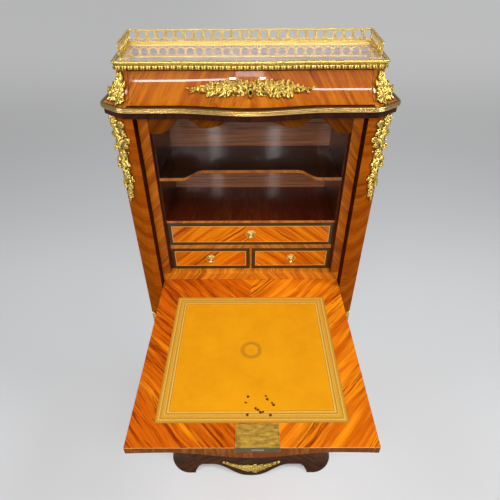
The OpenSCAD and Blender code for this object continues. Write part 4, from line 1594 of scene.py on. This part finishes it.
        def ring(at: float, z: float, radius: float, bar: float, squash: float = 1.0) -> Patch:
            """Ring that stands in the strip's plane."""
            turn = np.linspace(0, 2 * np.pi, 28, endpoint=False)
            plan = start + ahead * (at + radius * np.cos(turn))[:, None]
            path = np.concatenate([plan, (z + squash * radius * np.sin(turn))[:, None]], 1)
            return tube(path, bar, 8, True)

        made = [rail(low + 1.6, 1.6, 1.6), rail(high - 1.3, 1.2, 1.5), rail(low + 3.9, 0.6, 1.1)]
        made += [ring((i + 0.5) * pitch, high - 11.0, 8.8, 1.05, 1.04) for i in range(count)]
        made += [ring(i * pitch, low + 7.2, 3.4, 1.1) for i in range(1, count)]
        made += [ring((i + 0.5) * pitch, low + 6.4, 2.2, 0.9) for i in range(count)]
        for i in range(count + 1):
            at = start + ahead * min(max(i * pitch, 0.9), run - 0.9)
            # An upright, and the knot at its top
            for foot, top, bar, sides in (
                (low + 10.0, high - 2.0, 1.15, 6), (high - 3.4, high - 0.2, 2.2, 8)
            ):
                made.append(tube(np.array([[*at, foot], [*at, top]]), bar, sides))
        if scrolled:
            turn = np.linspace(0, 2.2 * np.pi, 40)
            radius = 7.0 * (1 - 0.75 * turn / turn[-1])
            share = np.linspace(0, 1, 12)
            # A scroll at the top, and a bow below it
            for along, z, bar in (
                (radius * np.sin(turn), high - 8.3 + radius * np.cos(turn), 1.2),
                (6.3 * np.sin(share * np.pi), high - 14.0 - (high - low - 16.0) * share, 1.1),
            ):
                plan = stop + ahead * along[:, None]
                made.append(tube(np.concatenate([plan, z[:, None]], 1), bar, 6))
        return made

    def build(self) -> None:
        """Builds the mouldings, the gallery and the corner mounts, and dresses the rest."""
        Place.eased("frieze_ends", FRIEZE, 0.0, 40.0)
        Place.eased("stone_top", Marble(), 0.8, 40.0, "marble")
        cornice = moulding(self.sub.path(1.5, 13), self.reeds, 40)
        Place.piece("reeded_cornice", [cornice], POLISHED, "case", "cornice_moulding")
        rim = moulding(self.head.path(0.9, 4), self.leaves, 34)
        Place.piece("leafy_rim", [rim], GILT, "case", "top_rim", 50.0)
        (_, near, low), (half, far, high) = box_of("gallery_back")
        back = (near + far) / 2
        strip = self.fence(np.array([-half, back]), np.array([half, back]), low, high, False)
        Place.piece("rear_gallery", strip, OPENWORK, "case", "gallery_back", 50.0)
        start = np.array([half - 1.5, back - 2.0])
        side = both_sides(self.fence(start, np.array(self.side_end), low, high, True))
        Place.piece("side_galleries", side, OPENWORK, "case", "gallery_sides", 50.0)
        leaf = Mount(acanthus(FRIEZE_FOOT + 1.0, 51.0, 33.0), self.corner, 0.7).patch()
        corners = both_sides([leaf])
        Place.piece("frieze_corner_leaves", corners, GILT, "case", "frieze_corner_mounts")


@dataclass
class PostMounts:
    """Hanging mounts on the cut corners of the front posts.

    Attributes:
        upper: Height of the upper mounts' top, and their length and width as shares of the
            table's.
        lower: The same of the lower mounts.
    """

    upper: tuple[float, float, float] = (1353.5, 1.0, 1.36)
    lower: tuple[float, float, float] = (810.0, 0.67, 0.55)

    def build(self) -> None:
        """Casts the mounts."""
        for name, node, sizes in (
            ("post_chutes", "post_mounts", self.upper),
            ("waist_chutes", "waist_mounts", self.lower),
        ):
            cast = Mount(chute(*sizes), corner_seat, 0.75).patch()
            Place.piece(name, both_sides([cast]), GILT, "case", node)


@dataclass
class Cabin:
    """The fitted interior.

    Attributes:
        apron: Veneer of the frame's shaped top rail.
        stile: Veneer of the frame's uprights.
        sill: Veneer of the frame's bottom rail.
        shelf: Veneer of the shaped shelf's edge.
        unit: Veneer of the drawer unit's edges.
        stile_inner_shade: Colour of the painted shade on the uprights' inner faces.
        stile_half: Distance of those faces from the middle.
        shelf_top: Colour of the shelf's upper face.
        unit_top: Colour of the drawer unit's upper face.
    """

    apron: Veneer = Veneer(
        "inner_frame_veneer", angle=-50.0, streak=4.0, seed=41.0, coat=0.03, gloss=0.0,
        tones=((0.20, 0.055, 0.004), (0.12, 0.028, 0.002), (0.035, 0.008, 0.001)),
    )
    stile: Veneer = Veneer(
        "stile_veneer", angle=-50.0, streak=3.5, strength=1.2, seed=45.0, coat=0.05,
        tones=((0.50, 0.14, 0.005), (0.34, 0.075, 0.003), (0.10, 0.014, 0.002)),
    )
    sill: Veneer = Veneer(
        "sill_veneer", angle=-55.0, streak=3.0, strength=1.2, seed=43.0,
        tones=((0.80, 0.28, 0.016), (0.54, 0.13, 0.005), (0.15, 0.02, 0.003)),
    )
    shelf: Veneer = Veneer(
        "shelf_veneer", angle=-50.0, streak=4.0, seed=47.0, rough=0.2, coat=0.45,
        tones=((0.44, 0.15, 0.02), (0.28, 0.08, 0.01), (0.16, 0.03, 0.005)),
    )
    unit: Veneer = Veneer(
        "unit_top_veneer", angle=-50.0, streak=4.0, seed=49.0, coat=0.5,
        tones=((0.62, 0.20, 0.02), (0.42, 0.11, 0.01), (0.16, 0.03, 0.005)),
    )
    stile_inner_shade: Colour = (0.06, 0.014, 0.004)
    stile_half: float = 205.0
    shelf_top: Colour = (0.028, 0.010, 0.005)
    unit_top: Colour = (0.065, 0.008, 0.003)

    @staticmethod
    def capped(veneer: Veneer, name: str, colour: Colour) -> Veneer:
        """Veneer with another colour on a CAD node's upper face."""
        top = box_of(name)[1][2]
        return replace(veneer, zones=(Zone(Axis.HEIGHT, top - 0.5, top + 1.0, colour),))

    def build(self) -> None:
        """Dresses the interior."""
        # Painted shade on the inner faces of the uprights
        inner = Zone(Axis.ACROSS, -1.0, self.stile_half + 0.5, self.stile_inner_shade)
        Place.eased("inner_posts", replace(self.stile, zones=(inner,)), 0.6)
        Place.eased("inner_apron", self.apron, 0.6, 40.0)
        Place.eased("inner_sill", self.sill, 0.6)
        shelf = self.capped(self.shelf, "shaped_shelf", self.shelf_top)
        Place.eased("shaped_shelf", shelf, 0.8, 40.0)
        unit_wood = self.capped(self.unit, "unit_top", self.unit_top)
        Place.eased("unit_top", unit_wood, 0.8, 40.0)
        for name in ("unit_rail", "unit_division"):
            Place.eased(name, unit_wood, 0.6)
        dress(MAHOGANY, "cabin_floor", "cabin_linings")


@dataclass
class Fall:
    """The writing fall with its leather and its lock.

    Attributes:
        veneer: Veneer of the whole panel.
        edge: Colour of its front edge.
        line: Colour of the painted highlight on the eased corners along that edge.
        keyhole: Middle of the keyhole shield along the fall.
    """

    veneer: Veneer = Veneer(
        "fall_veneer", Plane.TOP, 47.0, streak=5.0, wave=7.0, strength=1.15, seed=51.0,
        tones=((0.82, 0.25, 0.006), (0.54, 0.10, 0.003), (0.15, 0.011, 0.001)),
        coat=0.06, gloss=0.0, left=0.22,
    )
    edge: Colour = (0.165, 0.043, 0.0085)
    line: Colour = (0.70, 0.33, 0.09)
    keyhole: float = -421.5

    @staticmethod
    def under(u: Array, v: Array) -> tuple[Array, Array]:
        """Seat on the outer face, which faces down while the fall is open."""
        points = np.stack([u, v, DESK_H - front_at(u) - 0.1], -1)
        return points, np.broadcast_to([0.0, 0.0, -1.0], points.shape)

    def build(self) -> None:
        """Dresses the fall."""
        edge = box_of("fall_panel")[0][1]
        # A painted highlight on the eased corners along the front edge, with the front edge's own
        # colour over its face
        zones = (
            Zone(Axis.DEPTH, edge - 1.0, edge + 0.7, self.line),
            Zone(Axis.DEPTH, edge - 1.0, edge + 0.12, self.edge),
        )
        Place.eased("fall_panel", replace(self.veneer, zones=zones), 0.7)
        dress(Leather(), "fall_leather")
        dress(LockPlate(), "fall_lock")
        dress(Steel(), "fall_bolt")
        dress(POLISHED, "fall_pivots")
        hole = ((0.0, self.keyhole, 2.2),)
        plate = Mount(shield(self.keyhole, 12.0, 18.0), self.under, 0.6, hole).patch()
        plate.faces = [face[::-1] for face in plate.faces]
        Place.piece("fall_shield", [plate], GILT, "fall", "fall_escutcheon")


@dataclass
class Drawers:
    """All the drawers.

    Attributes:
        frieze: Veneer of the hollow frieze drawer.
        inner: Veneer of the inner drawers.
        long: Veneer of the long drawers.
        banding: Colour of the dark bands on the inner drawers.
        line: Colour of the thin light lines.
        garland: Half the frieze garland's length, half its height and its middle's height.
        hole_drop: How far the frieze's keyhole lies below that middle.
        bays: Heights of the long drawers' middles, from the bottom.
        knobs: Places of the knobs, x and height, with their body.
    """

    frieze: Veneer = replace(FRIEZE, name="frieze_drawer_veneer", seed=61.0)
    inner: Veneer = Veneer(
        "inner_drawer_veneer", angle=-38.0, streak=3.6, strength=1.2,
        tones=((0.87, 0.265, 0.004), (0.58, 0.112, 0.002), (0.18, 0.018, 0.002)),
    )
    long: Veneer = Veneer("drawer_veneer", angle=-48.0)
    banding: Colour = (0.055, 0.034, 0.008)
    line: Colour = (0.72, 0.36, 0.12)
    garland: tuple[float, float, float] = (124.0, 16.0, 1401.5)
    hole_drop: float = 11.5
    bays: tuple[float, ...] = (238.25, 482.75, 727.25)
    knobs: tuple[tuple[float, float, str], ...] = (
        (0.0, 1050.35, "wide_drawer"),
        (-102.5, 974.35, "small_drawer_left"),
        (102.5, 974.35, "small_drawer_right"),
    )

    def banded(self, body: str, seed: float) -> Veneer:
        """Veneer of an inner drawer, framed by a dark band and a light line.

        Args:
            body: The drawer's body.
            seed: Offset of its figure.

        Returns:
            The finish.
        """
        (x1, _, z1), (x2, _, z2) = box_of(body + "_front")
        bands = ((-1.0, 8.0, self.banding), (8.0, 9.5, self.line))
        inlay = Inlay(((x1 + x2) / 2, (z1 + z2) / 2), ((x2 - x1) / 2, (z2 - z1) / 2), bands)
        return replace(self.inner, name=body + "_veneer", seed=seed, inlay=inlay)

    @staticmethod
    def knob(x: float, z: float) -> Patch:
        """Round knob on a leafy rosette.

        Args:
            x: Its place across.
            z: Its height.

        Returns:
            The knob: a solid of revolution whose rosette ripples in sixteen leaves.
        """
        profile = [
            (0.05, 0.0), (12.4, 0.0), (12.9, 0.7), (12.4, 1.6), (11.0, 2.0), (10.2, 1.7),
            (9.0, 2.3), (7.0, 3.2), (5.4, 3.5), (4.6, 3.3), (4.2, 3.9), (3.0, 5.0),
            (2.7, 6.8), (3.0, 8.8), (4.3, 10.2), (5.5, 11.8), (6.0, 13.8), (5.6, 16.0),
            (4.2, 17.8), (2.4, 18.7), (0.05, 19.0),
        ]

        def ripple(turn: Array, share: Array) -> Array:
            """Leaves round the rosette."""
            return np.where((share > 0.04) & (share < 0.42), 0.45 * np.cos(16 * turn), 0.0)

        made = turned(profile, ripple)
        made.points = made.points + [x, 19.9, z]
        return made

    def build(self) -> None:
        """Dresses the drawers and casts their mounts and knobs."""
        Place.eased("frieze_drawer_front", self.frieze, 0.0, 40.0)
        hole = ((0.0, self.garland[2] - self.hole_drop, 3.0),)
        cast = Mount(garland(*self.garland, 4), seat_on(frieze_y, 0.3), 0.7, hole).patch()
        Place.piece("frieze_garland", [cast], GILT, "frieze_drawer", "frieze_drawer_mount")
        dress(OAK, "frieze_drawer_box")
        for i, (x, z, body) in enumerate(self.knobs):
            Place.eased(body + "_front", self.banded(body, 71.0 + 5 * i), 0.5)
            knob = self.knob(x, z)
            Place.piece(body + "_rosette", [knob], ROSETTE, body, body + "_knob", 40.0)
            dress(OAK, body + "_box")
        seat = seat_on(lambda x, z: -front_at(x), 0.1)
        for i, z in enumerate(self.bays, 1):
            body = f"lower_drawer_{i}"
            wood = replace(self.long, name=f"drawer_veneer_{i}", seed=85.0 + 7 * i)
            Place.eased(body + "_front", wood, 0.7)
            plate = Mount(shield(z, 20.0, 30.0), seat, holes=((0.0, z, 3.2),)).patch()
            Place.piece(body + "_shield", [plate], GILT, body, body + "_mount")
            dress(OAK, body + "_box")


@dataclass(frozen=True)
class Lamp:
    """A soft rectangular lamp.

    Attributes:
        name: Its name.
        at: Its place in metres.
        aim: The point that it faces.
        size: Its width, which lies level, and its height.
        power: Its power in watts.
    """

    name: str
    at: tuple[float, float, float]
    aim: tuple[float, float, float]
    size: tuple[float, float]
    power: float

    def hang(self) -> None:
        """Hangs the lamp."""
        light = bpy.data.lights.new(self.name, "AREA")
        light.shape = "RECTANGLE"
        light.size, light.size_y = self.size
        light.energy = self.power
        away = unit(np.subtract(self.at, self.aim))
        across = unit(np.cross([0.0, 0.0, 1.0], away))
        stand(self.name, light, (across, np.cross(away, across), away), self.at)


def stand(
    name: str, data: bpy.types.ID, axes: Sequence[Array], at: Sequence[float]
) -> bpy.types.Object:
    """Stands a lamp or a camera in the scene.

    Args:
        name: Its name.
        data: The lamp's or camera's data.
        axes: Its sideways axis, its upward axis, and the axis behind it.
        at: Its place in metres.

    Returns:
        The object.
    """
    made = bpy.data.objects.new(name, data)
    columns = np.stack([*axes, np.array(at)], 1)
    made.matrix_world = Matrix([*columns.tolist(), [0, 0, 0, 1]])
    bpy.context.scene.collection.objects.link(made)
    return made


@dataclass
class Studio:
    """Floor, lights and camera.

    Attributes:
        eye: The camera's place in metres.
        yaw: Its turn to the right in degrees.
        pitch: How far it looks down in degrees.
        roll: Its tilt in degrees.
        lens: Its focal length in millimetres.
        shift: Its sideways shift.
        near: Colour of the floor in front.
        far: Colour of the floor far behind.
        glow_near: Brightness of the floor in front, as the camera sees it.
        glow_middle: The same some way behind the chest.
        glow_far: The same far behind.
        shadow_glow_left: What its glow turns towards on the left, as a painted soft shadow.
        lamps: The lamps.
    """

    eye: tuple[float, float, float] = (-0.0028, -0.6755, 1.6242)
    yaw: float = -0.15
    pitch: float = 37.23
    roll: float = 0.32
    lens: float = 29.275
    shift: float = 0.0026
    near: Colour = (0.72, 0.73, 0.74)
    far: Colour = (0.70, 0.70, 0.70)
    glow_near: Colour = (0.715, 0.715, 0.715)
    glow_middle: Colour = (0.47, 0.47, 0.475)
    glow_far: Colour = (0.60, 0.60, 0.60)
    shadow_glow_left: Colour = (0.30, 0.30, 0.30)
    lamps: tuple[Lamp, ...] = (
        Lamp("left", (-2.3, -0.6, 3.6), (0, 0, 0.9), (1.2, 1.2), 48.0),
        Lamp("right", (2.3, -0.6, 3.6), (0, 0, 0.9), (1.2, 1.2), 78.0),
        Lamp("strip_left", (-0.68, -2.3, 2.5), (-0.68, 0.09, 1.41), (0.5, 0.34), 10.5),
        Lamp("strip_right", (0.7, -0.95, 3.25), (0.7, 0.09, 1.4), (0.34, 0.28), 6.0),
        Lamp("window", (0.0, -2.4, 1.55), (0, 0, 1.5), (0.5, 1.0), 10.0),
        Lamp("twin_left", (-0.325, -2.4, 2.36), (-0.1, 0.2, 1.3), (0.1, 0.5), 11.0),
        Lamp("twin_right", (0.24, -2.4, 2.36), (0.07, 0.2, 1.3), (0.1, 0.5), 11.0),
        Lamp("soft", (0.0, -3.2, 2.3), (0, 0, 1.1), (2.6, 1.3), 2.0),
        Lamp("back", (0.0, 3.0, 3.3), (0, 0, 1.3), (2.4, 0.3), 10.0),
    )

    def camera(self) -> None:
        """Sets the camera: its axes are turned by yaw, pitch and roll in that order."""
        yaw, pitch, roll = (math.radians(a) for a in (self.yaw, self.pitch, self.roll))
        level = np.array([math.sin(yaw), math.cos(yaw), 0.0])
        right = np.array([math.cos(yaw), -math.sin(yaw), 0.0])
        up = np.array([0.0, 0.0, 1.0])
        ahead = math.cos(pitch) * level - math.sin(pitch) * up
        down = -(math.sin(pitch) * level + math.cos(pitch) * up)
        across = math.cos(roll) * right + math.sin(roll) * down
        below = -math.sin(roll) * right + math.cos(roll) * down
        lens = bpy.data.cameras.new("camera")
        lens.lens = self.lens
        lens.sensor_width = 36.0
        lens.shift_x = self.shift
        lens.clip_start, lens.clip_end = 0.01, 200.0
        axes = (across, -below, -ahead)
        bpy.context.scene.camera = stand("camera", lens, axes, self.eye)

    def floor(self) -> None:
        """Lays a wide pale floor.

        A share of what the camera sees of it, a third in front and more behind, is its own
        plain brightness, which lights nothing; on the left it is darkened into a painted soft
        shadow.
        """
        shader = Shader("studio_floor")
        x, y, _ = shader.place()
        across, deep = x * (1 / PER_M), y * (1 / PER_M)
        colour = shader.mix(deep.ramp(-0.6, 5.0), self.near, self.far)
        shader.finish(colour, 0.9, specular=0.1)
        glow = shader.mix(deep.ramp(0.0, 1.8), self.glow_near, self.glow_middle)
        glow = shader.mix(deep.ramp(1.8, 8.0), glow, self.glow_far)
        # A painted soft shadow on the floor to the left of the chest
        shade = across.ramp(1.5, -2.5) * deep.ramp(-0.8, 1.0) * 0.17
        glow = shader.mix(shade, glow, self.shadow_glow_left)
        shader.glow_for_camera(glow, deep.ramp(0.5, 6.0) * 0.45 + 0.32)
        mesh = bpy.data.meshes.new("floor")
        half = 60.0
        corners = [(-half, -half, 0), (half, -half, 0), (half, half, 0), (-half, half, 0)]
        mesh.from_pydata(corners, [], [(0, 1, 2, 3)])
        made = bpy.data.objects.new("floor", mesh)
        bpy.context.scene.collection.objects.link(made)
        mesh.materials.append(shader.material)

    def build(self) -> None:
        """Sets the view, the world, the floor, the lamps and the camera."""
        scene = bpy.context.scene
        scene.view_settings.view_transform = "Standard"
        world = bpy.data.worlds.new("studio")
        world.use_nodes = True
        background = world.node_tree.nodes["Background"]
        background.inputs[0].default_value = (0.9, 0.92, 0.95, 1.0)
        background.inputs[1].default_value = 0.28
        scene.world = world
        self.floor()
        for lamp in self.lamps:
            lamp.hang()
        self.camera()


def main() -> None:
    """Builds the chest's looks in order."""
    logging.basicConfig(level=logging.INFO, format="%(message)s")
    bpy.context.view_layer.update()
    for part in (
        Studio(), Carcass(), Plinth(), TopWorks(), PostMounts(), Cabin(), Fall(), Drawers()
    ):
        part.build()


if __name__ == "__main__":
    main()
